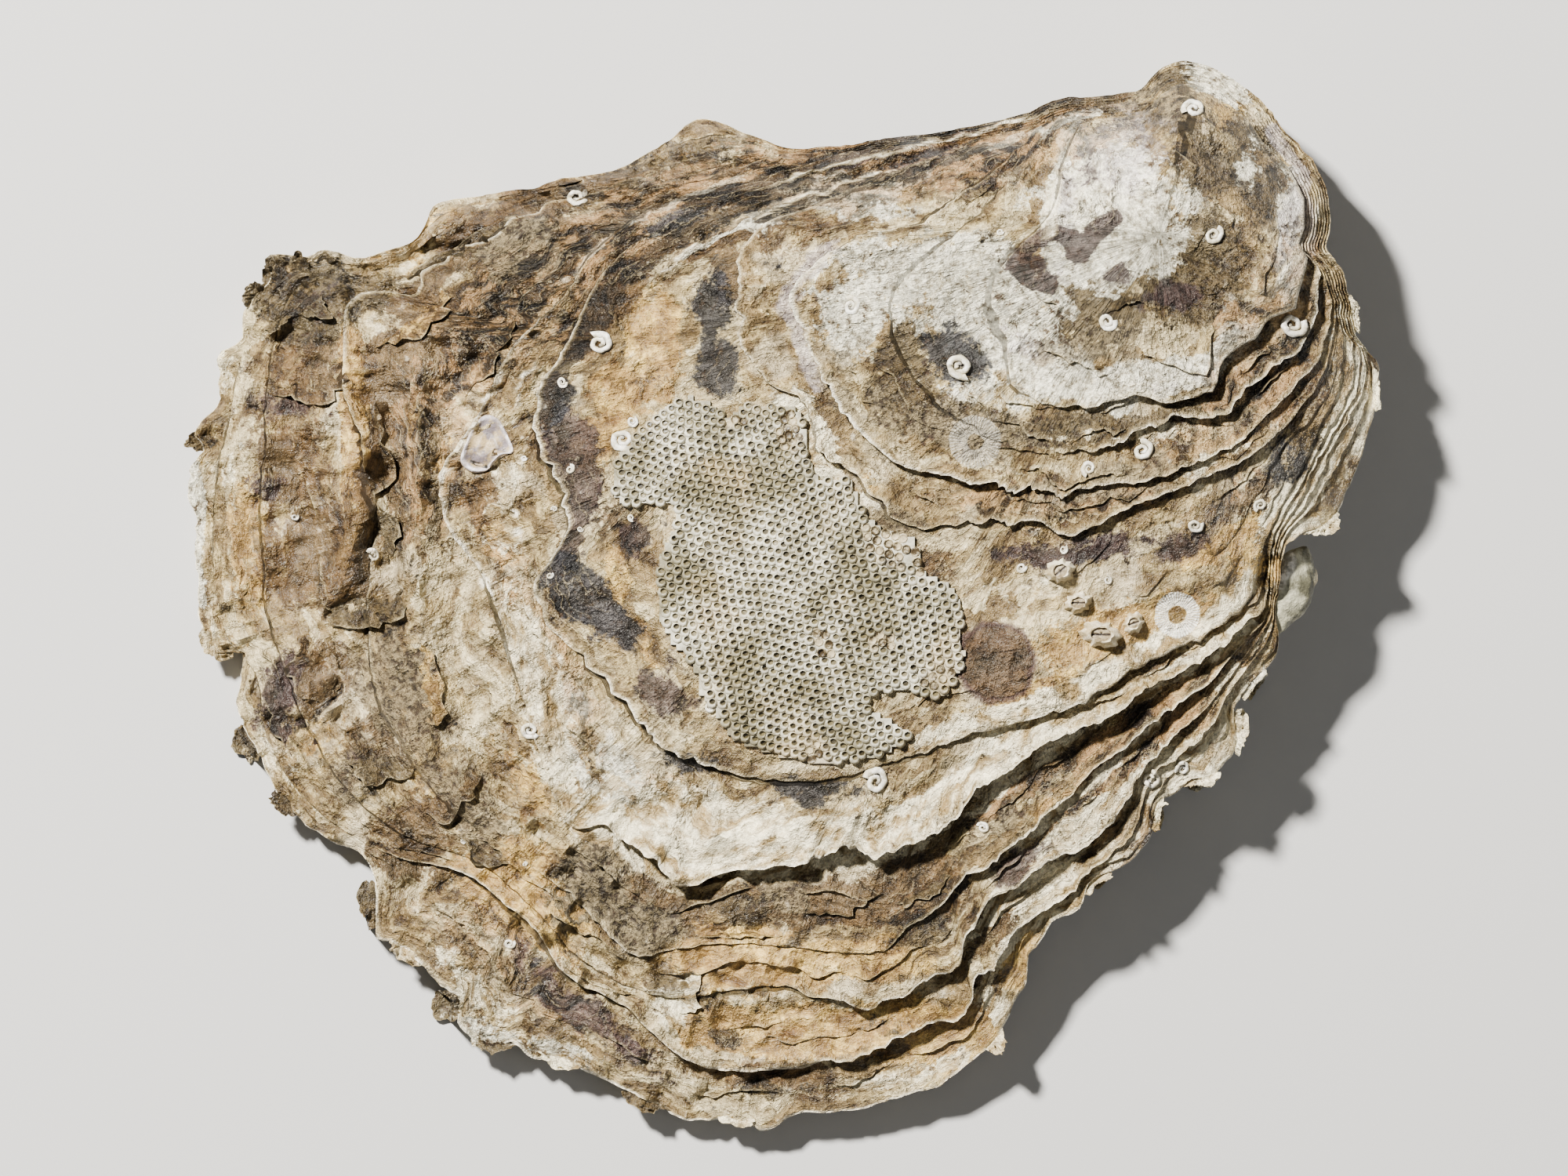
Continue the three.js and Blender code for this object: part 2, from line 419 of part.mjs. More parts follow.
// The colony of moss animals, a crust that follows the plateau
const CRUST_THICKNESS = 0.85;
const CRUST_OUTLINE = [
  [-8.5, 16.8], [-4.8, 15.2], [-3.5, 16], [-0.5, 16], [1, 15.5], [2, 12.5], [2.8, 9.9], [5.5, 9.2], [7, 6.4],
  [9, 4.9], [11.6, 4], [14, 0.5], [15.6, -1.5], [15.8, -6], [14, -9.7], [11, -8.8], [7, -10.3], [9, -11.5],
  [11, -13], [9, -14.4], [3.5, -15.1], [-2, -14.2], [-5.2, -12.3], [-7.3, -9.2], [-8.5, -6], [-11, -2],
  [-11.2, 0], [-9.7, 5], [-9.5, 7.3], [-12, 7.5], [-14.6, 7.6], [-14.8, 10.5], [-12.5, 13.8],
];

function crustGeometry() {
  const outline = new THREE.Shape(CRUST_OUTLINE.map(([x, y]) => new THREE.Vector2(x, y)));
  const block = closed(new THREE.ExtrudeGeometry(outline, { depth: 2 * DOME_TOP, bevelEnabled: false }));
  const over = valveSolid.translate([0, 0, GAP + CRUST_THICKNESS]);
  return clearOfValve(geometryOf(solidOf(block).intersect(over)));
}

addMesh('bryozoan_crust', crustGeometry(), { color: 0xb9b4a2, roughness: 0.85 });

// Barnacles: a low cone of wall plates round a sunk opening. x, y, length, width, height, turn in degrees
const BARNACLES = [
  [24.3, 1.5, 2.4, 2.2, 1.1, 40], [25.9, -1.3, 2.4, 1.8, 1, 0], [27.9, -4.1, 3.4, 2.4, 1.3, 0],
  [30.8, -3.1, 2, 1.7, 0.9, 20],
];
const BARNACLE_SIDES = 8;
const BARNACLE_PROFILE = [[0, 0], [0.5, 0], [0.36, 0.75], [0.27, 1], [0.2, 0.7], [0, 0.66]];

function barnacleGeometry([x, y, length, width, height, turn]) {
  const points = BARNACLE_PROFILE.map(([r, h]) => new THREE.Vector2(r, h * height));
  const cone = closed(new THREE.LatheGeometry(points, BARNACLE_SIDES));
  cone.scale(length, 1, width);
  cone.rotateY(THREE.MathUtils.degToRad(turn));
  return standOn(cone, x, y, length / 2);
}

BARNACLES.forEach((barnacle, i) => {
  addMesh(`barnacle_${i + 1}`, barnacleGeometry(barnacle), { color: 0xa79f88, roughness: 0.8 });
});

// A thin flat shell grown on to the left of the plateau. Its profile is share of the width and height.
const PATCH = { at: [-26.6, 12.9], half: [2.3, 2], sides: 14 };
const PATCH_PROFILE = [[0, 0], [1, 0], [0.97, 0.12], [0.75, 0.38], [0.4, 0.5], [0, 0.52]];

function patchGeometry() {
  const points = PATCH_PROFILE.map(([r, h]) => new THREE.Vector2(r, h));
  const lens = closed(new THREE.LatheGeometry(points, PATCH.sides));
  lens.scale(PATCH.half[0], 1, PATCH.half[1]);
  return standOn(lens, ...PATCH.at, PATCH.half[0]);
}

addMesh('patch_shell', patchGeometry(), { color: 0xb3aaa0, roughness: 0.5 });

// A small humped shell in the notch of the right margin, kept clear of the valve all round
const SPAT = { at: [44.7, -0.1, 6.4], half: [2.3, 3.7, 1.9], turn: -18, sides: 14, rows: 10 };

function spatGeometry() {
  const hump = closed(new THREE.SphereGeometry(1, SPAT.sides, SPAT.rows));
  hump.scale(...SPAT.half);
  hump.rotateZ(THREE.MathUtils.degToRad(SPAT.turn));
  hump.translate(...SPAT.at);
  return clearOfValve(hump);
}

addMesh('spat_shell', spatGeometry(), { color: 0x77786a, roughness: 0.6 });

// Coiled lime tubes of small worms: x, y and width of each coil
const WORM_TUBES = [
  [36.1, 42.2, 2.2], [37.7, 31, 2], [44.3, 23.4, 2.6], [31.5, 12.1, 2.2], [26.8, 10.6, 1.6],
  [15.5, 19.5, 2.8], [-16.3, 21.6, 2.6], [-18.4, 34.4, 2.1], [-22.3, -12.6, 2], [8.1, -17.3, 2.6],
  [32.3, -16.9, 1.9], [35.3, -15.8, 1.6], [36.2, 5.6, 1.6],
];
const TUBE_SIDES = 5;
const COIL_SIDES = 9;
const TUBE_SHARE = 0.19;        // radius of the tube as a share of the coil's width

function wormTubeGeometry([x, y, width]) {
  const tube = TUBE_SHARE * width;
  const profile = Array.from({ length: TUBE_SIDES + 1 }, (_, i) => {
    const angle = (2 * Math.PI * (i % TUBE_SIDES)) / TUBE_SIDES;
    return new THREE.Vector2(0.5 * width - tube + tube * Math.cos(angle), tube + tube * Math.sin(angle));
  });
  const coil = closed(new THREE.LatheGeometry(profile, COIL_SIDES));
  return standOn(coil, x, y, width / 2);
}

WORM_TUBES.forEach((wormTube, i) => {
  const name = `worm_tube_${String(i + 1).padStart(2, '0')}`;
  addMesh(name, wormTubeGeometry(wormTube), { color: 0xd8d2c0, roughness: 0.7 });
});

export default group;
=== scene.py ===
import math

import bmesh
import bpy
import numpy as np
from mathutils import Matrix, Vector, noise
from mathutils.bvhtree import BVHTree
from mathutils.kdtree import KDTree


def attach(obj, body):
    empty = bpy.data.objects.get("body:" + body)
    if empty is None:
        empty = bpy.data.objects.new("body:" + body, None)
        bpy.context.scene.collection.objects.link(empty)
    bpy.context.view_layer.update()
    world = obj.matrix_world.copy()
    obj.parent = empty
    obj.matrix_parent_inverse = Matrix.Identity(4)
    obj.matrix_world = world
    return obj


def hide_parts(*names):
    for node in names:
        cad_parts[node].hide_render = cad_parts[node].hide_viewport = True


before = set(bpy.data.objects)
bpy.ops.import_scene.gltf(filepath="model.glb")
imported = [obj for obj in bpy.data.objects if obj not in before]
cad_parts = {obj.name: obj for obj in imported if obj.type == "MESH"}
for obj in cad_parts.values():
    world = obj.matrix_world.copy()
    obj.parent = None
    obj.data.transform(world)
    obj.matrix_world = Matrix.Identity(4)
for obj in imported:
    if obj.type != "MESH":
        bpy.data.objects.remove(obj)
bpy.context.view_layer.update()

# The view and the light
# The shell lies on a plain pale surface and is seen from straight above, as in the picture. One large
# soft light stands high at the upper left, where the picture's light comes from, and a weak one fills
# in from the right.
MM = 0.001
PLAN_TO_ORIGIN = np.array([0.2, 0.85])      # plan (0, 0) is the picture's middle, in mm
PICTURE_WIDTH = 140 * MM                    # what the picture is wide at the shell
CAMERA_HEIGHT = 1.2
SENSOR = 36                                 # mm

camera = bpy.data.objects.new("camera", bpy.data.cameras.new("camera"))
camera.data.sensor_width = SENSOR
camera.data.lens = SENSOR * CAMERA_HEIGHT / PICTURE_WIDTH
camera.data.clip_end = 10
camera.location = (PLAN_TO_ORIGIN[0] * MM, PLAN_TO_ORIGIN[1] * MM, CAMERA_HEIGHT)
bpy.context.collection.objects.link(camera)
bpy.context.scene.camera = camera


def soft_light(name, place, size, power, colour):
    """A square light that looks at the shell."""
    light = bpy.data.lights.new(name, "AREA")
    light.size = size
    light.energy = power
    light.color = colour
    lamp = bpy.data.objects.new(name, light)
    lamp.location = place
    lamp.rotation_euler = (-Vector(place)).to_track_quat("-Z", "Y").to_euler()
    bpy.context.collection.objects.link(lamp)


soft_light("key_light", (-0.38, 0.42, 0.66), 0.08, 38, (1, 0.965, 0.88))
soft_light("fill_light", (0.6, -0.3, 0.7), 0.6, 1.2, (1, 0.97, 0.92))

world = bpy.data.worlds.new("pale_room")
world.use_nodes = True
world.node_tree.nodes["Background"].inputs["Color"].default_value = (0.88, 0.89, 0.84, 1)
world.node_tree.nodes["Background"].inputs["Strength"].default_value = 0.14
bpy.context.scene.world = world

floor_sheet = bmesh.new()
bmesh.ops.create_grid(floor_sheet, x_segments=2, y_segments=2, size=1.5)
floor = bpy.data.objects.new("floor", bpy.data.meshes.new("floor"))
floor_sheet.to_mesh(floor.data)
floor_sheet.free()
floor_paint = bpy.data.materials.new("pale_floor")
floor_paint.use_nodes = True
floor_paint.node_tree.nodes["Principled BSDF"].inputs["Base Color"].default_value = (0.5, 0.5, 0.51, 1)
floor_paint.node_tree.nodes["Principled BSDF"].inputs["Roughness"].default_value = 0.8
floor.data.materials.append(floor_paint)
bpy.context.collection.objects.link(floor)

# The valve
# One plate of lime that the oyster laid down in growth layers from the beak outwards. Each layer ends in
# a lip, and the next one starts from under it. The plan is in mm as seen in the picture, and every ring
# is one growth line: a closed outline from the beak along the top, the left, the bottom and the right.
DOME_TOP = 20
FOCUS = np.array([33.0, 31.0])
HINGE = {"at": (40, 41), "reach": 8.5, "thick": 17}
WALL_AT_MARGIN = 1.3
WALL_AT_DOME = 5.0
LEAST_STEP = 0.16
RAY_BEND = 0.3
COLUMNS = 688
MARGIN_ROUND = 350                          # mm, all the way round

# x, y, height of the outer side and of the underside at the margin, in mm, and how steeply the flank falls
GUIDE = [
    (36, 48, 6.8, 0, 2.3), (29.5, 45.8, 6.6, 0.8, 2.2), (18, 44, 5.6, 3, 1.9), (7, 42.6, 4.2, 2.4, 1.8),
    (-6, 44, 3, 1.4, 1.7), (-18, 40, 2.5, 1, 1.6), (-32, 36, 2.1, 0.7, 1.5), (-46.5, 32, 1.8, 0.3, 1.5),
    (-54, 21, 1.5, 0.1, 1.5), (-56, 6, 1.4, 0, 1.5), (-53.5, -9, 1.6, 0.1, 1.5), (-45, -24, 2.2, 0.8, 1.6),
    (-35, -38, 2.4, 1, 1.6), (-20, -46, 2.1, 0.4, 1.6), (-3, -51, 2, 0, 1.7), (13, -47.5, 3.2, 1.2, 1.8),
    (24, -37, 5, 3.2, 1.9), (36, -23.5, 6.6, 4.6, 2), (46, -9.5, 6.8, 4.6, 2.1), (53, 6, 6, 3.8, 2.2),
    (56, 20, 5, 2.6, 2.3), (52.5, 34, 5, 0.8, 2.4), (46.6, 42.2, 5.8, 0, 2.3), (41.6, 46.6, 6.6, 0, 2.3),
]
# Broad swells of the outer side: x, y, reach, height in mm
SWELLS = [(14, 26, 7, 0.8), (-14, 10, 12, 0.9), (-30, 25, 7, 0.7), (-40, 3, 8, -0.5), (20, -6, 10, 0.6),
          (37, 42, 4, 1)]

# Each ring has the lift of its lip, how far it is tucked back under and how deep it drops, in mm, the rows of
# the surface and the torn steps before it, and the spots where its lip stands out: x, y, reach, strength
RINGS = [
    {"name": "dome lip", "lift": 0.9, "tuck": 1.1, "drop": 0.8, "rows": 24, "steps": 3,
     "spots": [(44, 25, 7, 0.6), (38, 18.5, 6, 0.75), (30, 16.5, 6, 0.5), (47, 33, 6, 0.5)],
     "line": [(34.5, 46), (31, 43.9), (28, 42.6), (25.8, 40), (24.5, 36.5), (23.4, 33), (19, 28),
         (18.2, 25.4), (19.5, 22), (20.2, 18.1), (21.6, 16.9), (23.8, 16.2), (26.5, 15.8), (28.9, 16.4),
         (31.3, 17), (35.1, 16), (37.6, 17.4), (39, 20.5), (40.9, 21.7), (42.9, 23.4), (44.9, 25.1),
         (46.2, 28), (46.9, 31), (46.8, 34), (45.6, 37), (43.6, 40), (41.4, 42.8), (38.3, 45.3)]},
    {"name": "second lip", "lift": 0.7, "tuck": 1.2, "drop": 0.8, "rows": 7, "steps": 2,
     "spots": [(44, 20, 6, 0.5), (38, 15, 6, 0.5), (31, 13.5, 5, 0.5), (47.5, 26, 5, 0.4)],
     "line": [(34.3, 46.2), (30.8, 44.1), (27.5, 43.1), (24, 41.2), (21, 37.5), (17.5, 33), (12.5, 29),
         (9.5, 25.5), (10, 21.5), (12.5, 17.5), (16.5, 14), (21, 12.5), (28, 12.2), (31, 13.5),
         (34.5, 14.8), (37.8, 15), (40, 16.7), (42.1, 18.6), (45, 20.7), (46, 22.2), (47.1, 24.5),
         (47.5, 27), (47.5, 33), (46.9, 36), (45.2, 38.8), (43.2, 41.2), (41.2, 43.5), (38.3, 45.6)]},
    {"name": "white lip", "lift": 0.8, "tuck": 0.6, "drop": 0.6, "rows": 8, "steps": 2,
     "spots": [(1, 25, 7, 0.9), (6, 14, 8, 1), (18, 9, 9, 0.7), (33, 10, 9, 0.5), (46, 19, 6, 0.4),
               (9, 32, 6, 0.6)],
     "line": [(34.1, 46.3), (30.5, 44.2), (26.5, 43.3), (23, 41.3), (20.4, 38.4), (18.2, 36.6),
         (16.3, 35.2), (14.3, 33.8), (12.2, 32.3), (9.8, 31.5), (7.3, 31.3), (4.9, 30.1), (3.2, 29.1),
         (1.8, 27.7), (0.6, 26.2), (0.5, 24.8), (1.3, 23.3), (1.8, 21.2), (2.8, 19.5), (4, 17.3),
         (5.4, 15.1), (7.1, 13.4), (9, 11.7), (11, 10.5), (14.6, 9.8), (17, 9.1), (20.9, 8.5), (25, 8.3),
         (27.8, 9), (30.7, 9.2), (33.1, 9.8), (35.5, 10.4), (37.9, 11.6), (40, 12.6), (42.7, 15.3),
         (45.1, 17.7), (47, 20.1), (48, 22.8), (48.2, 26), (47.8, 33.5), (47.2, 36.5), (45.6, 39.2),
         (43.5, 41.5), (41.5, 43.8), (38.4, 45.8)]},
    {"name": "wavy lip", "lift": 0.9, "tuck": 0.9, "drop": 0.7, "rows": 9, "steps": 1,
     "spots": [(22, 5.5, 9, 0.4), (34, 8.5, 8, 0.45), (43, 13, 6, 0.3), (3, 10, 6, 0.5), (-3.5, 25, 9, 0.5)],
     "line": [(33.8, 46.3), (30.2, 44.2), (26, 43.3), (21, 41.6), (15, 38.9), (8, 36), (2, 33.5), (-2, 32),
         (-3.9, 29), (-4, 25), (-3.4, 20.4), (-1, 18), (1.6, 16.3), (2.8, 14.2), (3.2, 11.8), (6.4, 10.2),
         (8.6, 7), (12, 5.2), (14, 5.4), (20, 5.9), (21.8, 5.8), (23.7, 5.1), (25.5, 4.9), (28.3, 5.9),
         (30.2, 6.9), (32.6, 7.8), (37.9, 10), (40.3, 11.2), (44, 14), (47, 18), (48.5, 22), (48.7, 26),
         (48.2, 30), (48, 34), (47.4, 36.8), (45.8, 39.4), (43.6, 41.7), (41.7, 44), (38.4, 45.9)]},
    {"name": "inner plateau line", "lift": 0.6, "tuck": 0.5, "drop": 0.4, "rows": 22, "steps": 3,
     "spots": [(-21, 16, 8, 0.8), (-20, 3, 8, 0.7), (-12, -13, 10, 0.8), (24, -11, 10, 0.9),
               (36, -4, 7, 0.7)],
     "line": [(33.6, 46.2), (30, 44.1), (24.8, 43.1), (17, 40.6), (11.4, 39.4), (2.5, 36.8), (-2.3, 35.3),
         (-8.8, 33), (-12.4, 31), (-16.3, 27.4), (-20, 20), (-21.8, 17.8), (-21.8, 14.6), (-20.6, 9.8),
         (-19.1, 5.7), (-20.8, 2.3), (-22.2, 0), (-20, -4), (-17.5, -6.2), (-14.5, -10), (-11, -13.5),
         (-5, -16.3), (0, -17), (6, -16.5), (12, -14.5), (18, -12.5), (24.6, -10.9), (26.6, -9.9),
         (28.5, -8.7), (30.9, -7.3), (32.8, -6.3), (34.8, -5.1), (36.9, -4.1), (39.1, -3), (40.5, -1.8),
         (41.6, 0), (42.6, 4.5), (44.9, 9), (47.2, 14), (49, 18), (49.4, 22), (49, 26), (48.4, 30),
         (48.1, 34), (47.5, 37), (45.9, 39.5), (43.7, 41.9), (41.8, 44.1), (38.4, 46)]},
    {"name": "plateau lip", "lift": 1.3, "tuck": 2.6, "drop": 1.1, "rows": 8, "steps": 1,
     "spots": [(0, -25, 9, 1), (14, -21, 8, 1), (27, -12, 9, 0.9), (-11, -25, 6, 0.9), (-30, 9, 8, 0.5),
               (-22, -14, 7, 0.3), (38, -5, 6, 0.6), (-22, 23, 7, 0.3)],
     "line": [(33.4, 46.3), (29.6, 44), (24.8, 43.2), (17, 40.8), (10, 39.7), (7.3, 39.1), (4, 38.1),
         (-1.8, 36.3), (-5, 35.3), (-9.5, 34.3), (-12, 33.5), (-14.4, 31.7), (-16.8, 29.6), (-19.4, 26),
         (-23.5, 21.8), (-25.6, 18.7), (-26.6, 16.3), (-27.8, 14.2), (-29.5, 12), (-30.5, 10.3),
         (-30.5, 8.1), (-29.9, 5.7), (-28.5, 3.5), (-26.8, 1.4), (-25.9, -1), (-24.9, -3.5), (-24.2, -6.2),
         (-23.5, -8.6), (-22.7, -11), (-21.3, -15.8), (-20.1, -19.4), (-18.6, -21.3), (-15.6, -20.9),
         (-13.9, -22.4), (-12.2, -23.6), (-11, -25.1), (-9.8, -26.3), (-8.6, -26.4), (-5.1, -25.1),
         (-2.7, -24.9), (0, -24.5), (2.2, -24.1), (3.4, -23.5), (5.5, -23.2), (7, -23.9), (9.4, -23.4),
         (11.3, -22.7), (13.5, -21.6), (15.7, -19.8), (17.1, -17.9), (18.3, -17.1), (20, -16), (22.5, -14),
         (25.5, -13), (28.5, -11.5), (30.9, -9.9), (32.8, -8.7), (35, -7.5), (37.2, -6.1), (39.3, -4.6),
         (41, -2.9), (42.2, -2.2), (42.7, -0.8), (43.2, 4.5), (45.6, 9), (48.1, 14), (50.2, 18), (50.4, 22),
         (49.5, 26), (48.6, 30), (48.3, 34), (47.7, 37), (46.1, 39.8), (43.9, 42.1), (42, 44.3),
         (38.4, 46.1)]},
    {"name": "frilled lip", "lift": 0.8, "tuck": 1, "drop": 0.5, "rows": 12, "steps": 1,
     "spots": [(-28, 30, 8, 0.6), (-38, 22, 8, 0.35), (20, -23, 9, 0.8), (34, -11, 7, 0.8),
               (-37, 2, 9, 0.4), (-16, -30, 7, 0.4)],
     "line": [(33.3, 46.2), (29.4, 43.8), (24.8, 43.2), (17, 40.85), (10, 39.8), (4, 38.7), (-1.6, 38.2),
         (-9.5, 36.3), (-14, 34.9), (-21, 34.2), (-21.8, 33.2), (-24.2, 32.8), (-25.6, 31.1), (-27.3, 30.6),
         (-29, 30.4), (-30.2, 29.4), (-32.1, 27.8), (-32.6, 26), (-35.3, 26.3), (-37.9, 26), (-38.9, 25),
         (-39.1, 20.2), (-38.9, 17), (-38.2, 15.4), (-37.4, 13), (-37, 8.6), (-36, 6.4), (-36.6, 3.5),
         (-37, -1), (-36.5, -8), (-34.5, -13), (-31, -18), (-27.5, -21.2), (-23.5, -23.8), (-20.4, -26.2),
         (-18.5, -27.6), (-17, -29.2), (-15.3, -31.1), (-13, -32.6), (-9, -32), (-4, -31.5), (2, -32),
         (8.9, -32.1), (10.9, -30.2), (13, -28.7), (14.7, -27.3), (16.2, -25.6), (17.9, -24.6),
         (19.1, -23.4), (20.8, -22.2), (22.7, -20.7), (24.4, -19.3), (25.6, -17.9), (27.8, -15.6),
         (30, -14.1), (31.9, -12.4), (33.8, -11.1), (35.7, -9.7), (37.4, -8.5), (39.1, -6.5), (40.8, -4.6),
         (42.6, -2.6), (43.1, -0.8), (43.5, 4.5), (45.9, 8.8), (48.6, 14), (50.8, 18), (50.8, 22),
         (49.7, 26), (48.7, 30), (48.4, 34), (47.8, 37), (46.2, 39.9), (44, 42.2), (42.1, 44.4),
         (38.45, 46.15)]},
    {"name": "third lip", "lift": 0.9, "tuck": 1.3, "drop": 0.8, "rows": 11, "steps": 1,
     "spots": [(9, -37, 5, 0.8), (16, -31, 6, 1), (25, -23, 7, 0.9), (32, -15, 6, 0.6)],
     "line": [(33.2, 46.1), (29.2, 43.7), (24.8, 43.2), (17, 40.9), (10, 39.85), (4, 38.9), (-1.6, 39.2),
         (-5, 38.9), (-9.5, 38.3), (-14, 36.4), (-18, 35.8), (-21.5, 35.1), (-25, 34.4), (-28, 33.2),
         (-31, 31.2), (-34, 29), (-37.5, 28.2), (-41, 27.8), (-43.5, 26.5), (-45, 23), (-46, 18), (-46, 13),
         (-46.5, 8), (-46.2, 3), (-46, -2), (-44.5, -7), (-42.5, -12), (-39.5, -17), (-36, -20.5),
         (-32.5, -22.6), (-29, -23.6), (-26.2, -25), (-23.4, -27.2), (-21, -29.6), (-19.3, -31.9),
         (-17, -33.7), (-13.5, -35.5), (-10, -36.4), (-6.8, -36), (-5.1, -35.7), (-2.2, -35.4),
         (0.5, -35.3), (2.7, -36.4), (5.1, -36.6), (6.5, -37.3), (7.7, -37.4), (8.7, -36.7), (10.9, -36.2),
         (12.1, -35), (14, -34.1), (15.8, -33.3), (15.9, -31.6), (16.7, -30.2), (17.5, -28.5),
         (18.9, -27.2), (20.8, -26.3), (21.9, -25.2), (24, -23.9), (26.9, -22.8), (28.5, -21.3),
         (30, -19.4), (31.2, -17), (33, -14.6), (35, -12.8), (37, -11), (38.6, -9), (40.3, -6.7),
         (42, -4.4), (43, -2.6), (43.4, -0.8), (43.8, 4.4), (46.4, 8), (49, 13.5), (51.4, 18), (51.1, 22),
         (49.9, 26), (48.8, 30), (48.5, 34), (47.9, 37), (46.3, 40), (44.1, 42.3), (42.2, 44.5),
         (38.5, 46.2)]},
    {"name": "last lip", "lift": 0.8, "tuck": 1.1, "drop": 0.6, "rows": 8, "steps": 1,
     "spots": [(10, -40, 7, 0.9), (18, -34, 6, 0.9), (24, -28, 6, 0.7), (-5, -43, 7, 0.7),
               (-19, -34, 8, 0.6), (-28, -25.5, 6, 0.6), (37, -13, 6, 0.5)],
     "line": [(33, 46), (29, 43.6), (24.8, 43.2), (17, 40.9), (10, 39.87), (4, 38.95), (-1.6, 39.5),
         (-5, 40.2), (-9, 39.5), (-14, 37), (-18, 36.2), (-21.5, 35.4), (-25, 34.9), (-28, 34.2),
         (-31, 32.6), (-34, 29.8), (-37.7, 28.8), (-41.5, 29), (-44, 28), (-46.2, 25), (-48.3, 20.5),
         (-49.3, 15.5), (-50.4, 10), (-50.8, 5), (-50.6, 0), (-49.5, -4.5), (-46.8, -8), (-46.3, -12),
         (-43.6, -17.7), (-39.5, -21.3), (-36, -23.3), (-33, -24.3), (-30, -24.8), (-27.9, -25.6),
         (-26.4, -26.6), (-24.3, -28.4), (-22.1, -30.4), (-20.9, -32.3), (-19.5, -34.2), (-17.3, -35.6),
         (-14.6, -37.1), (-12.5, -38.8), (-10, -41.2), (-8.1, -42.3), (-5.2, -43), (0, -42.8), (1.7, -42.7),
         (3.4, -42.1), (5.1, -42.1), (6.8, -41.4), (9.4, -40.5), (11.4, -39.4), (14.2, -38.4), (15, -38.6),
         (16.2, -37.4), (16.9, -36.2), (16.8, -35), (18.1, -33.8), (19.3, -32.3), (20.3, -30.2),
         (22.2, -29.4), (23.4, -28.5), (25.4, -27.3), (26.8, -25.4), (29, -23.6), (31, -21.5), (31.8, -19),
         (32.8, -16.6), (34.6, -15), (36.6, -13.6), (38.3, -11.5), (39.2, -9.5), (41, -7), (42.6, -5),
         (43.3, -3), (43.6, -0.8), (44.1, 4.2), (46.9, 7.5), (49.8, 12.5), (51.8, 18), (51.2, 21.5),
         (50, 26), (48.9, 30), (48.6, 34), (48, 37), (46.4, 40.1), (44.2, 42.5), (42.3, 44.6),
         (38.5, 46.3)]},
    {"name": "margin", "lift": 0, "tuck": 0, "drop": 0, "rows": 8, "steps": 1, "spots": [],
     "line": [(35.2, 46.7), (33.5, 46.1), (32.3, 44.9), (31.5, 44.1), (30, 43.9), (28.4, 43.6),
         (24.8, 43.3), (21, 42), (17, 40.95), (13.4, 40.3), (10, 39.9), (6.9, 39.4), (4, 39), (0.1, 39),
         (-1.6, 39.7), (-3.8, 40.5), (-5.7, 41.4), (-7.9, 41.7), (-9.3, 40.5), (-11, 39.3), (-12.9, 38.3),
         (-15.1, 37.1), (-18, 36.6), (-20, 36.4), (-21.5, 35.7), (-24.7, 35.3), (-27.3, 34.9),
         (-29.5, 34.6), (-31.2, 34), (-31.8, 32.3), (-32.9, 30.8), (-35, 30.1), (-37.9, 29.3),
         (-39.6, 29.9), (-41.1, 30.1), (-42.5, 29.5), (-44.2, 29.7), (-45.6, 29.6), (-45.8, 27.2),
         (-47.1, 26.2), (-48.1, 24.5), (-48.4, 22.1), (-50.5, 20.7), (-50.2, 18.7), (-50.6, 16.3),
         (-52.7, 13.9), (-51.9, 12.5), (-53, 10.5), (-53, 8.1), (-52.4, 5.9), (-52.5, 3.3), (-52.2, 0.6),
         (-52.3, -2.3), (-51.7, -4.5), (-51, -6), (-48.3, -5.7), (-48.5, -8.1), (-48.8, -10.3),
         (-48.1, -12.4), (-46.6, -15.1), (-45.4, -17.7), (-44, -19.7), (-41.8, -21.6), (-39.6, -22.8),
         (-37.9, -23.5), (-36.6, -25.2), (-36.3, -27.2), (-36.4, -29.6), (-36.1, -31.1), (-34.7, -31.6),
         (-32.7, -33.1), (-30.8, -35.2), (-28.9, -36.7), (-29.1, -38.6), (-28.1, -39.9), (-26.2, -41.4),
         (-24.3, -40.4), (-22.3, -42.1), (-20.4, -41.9), (-17.3, -43.2), (-14.6, -44.5), (-12.5, -45.6),
         (-10.8, -46.5), (-9.3, -47.2), (-6.7, -47.4), (-3.3, -47.7), (-1.6, -48.4), (1, -46.8),
         (4.6, -46.7), (7.5, -46.1), (11.3, -45), (14, -44.2), (16.2, -42.5), (18.1, -41), (19.4, -39.3),
         (20.3, -37.2), (21.4, -35.2), (21.7, -32.8), (22.9, -31.1), (24.1, -29.4), (26.2, -28.4),
         (27.2, -25.9), (29.7, -24.9), (31.4, -23.5), (32.6, -21.5), (32.7, -20.3), (33.1, -18.9),
         (35, -18.1), (36.2, -16.9), (37.9, -16.9), (38.9, -15.7), (40.1, -14.3), (39.8, -12.1),
         (40.1, -10), (41.8, -8), (43.4, -6.5), (43.8, -4.2), (43.5, -2.5), (43.7, -0.6), (44.3, 3.9),
         (45.6, 4.8), (47.5, 5.4), (48.8, 6.6), (50, 8.5), (51.1, 11.4), (51.5, 13.1), (52.2, 15.3),
         (52.5, 17.6), (52.6, 19.9), (51.3, 21.3), (50.2, 22.9), (50, 25.1), (49.4, 27.8), (48.7, 29),
         (47.9, 30), (48.3, 31.9), (48.2, 34.3), (47.7, 36.5), (46.9, 37.9), (45.3, 39.6), (43.6, 41.3),
         (42.4, 42.9), (40.5, 44.5), (38.5, 45.8), (36.8, 46.5)]},
]


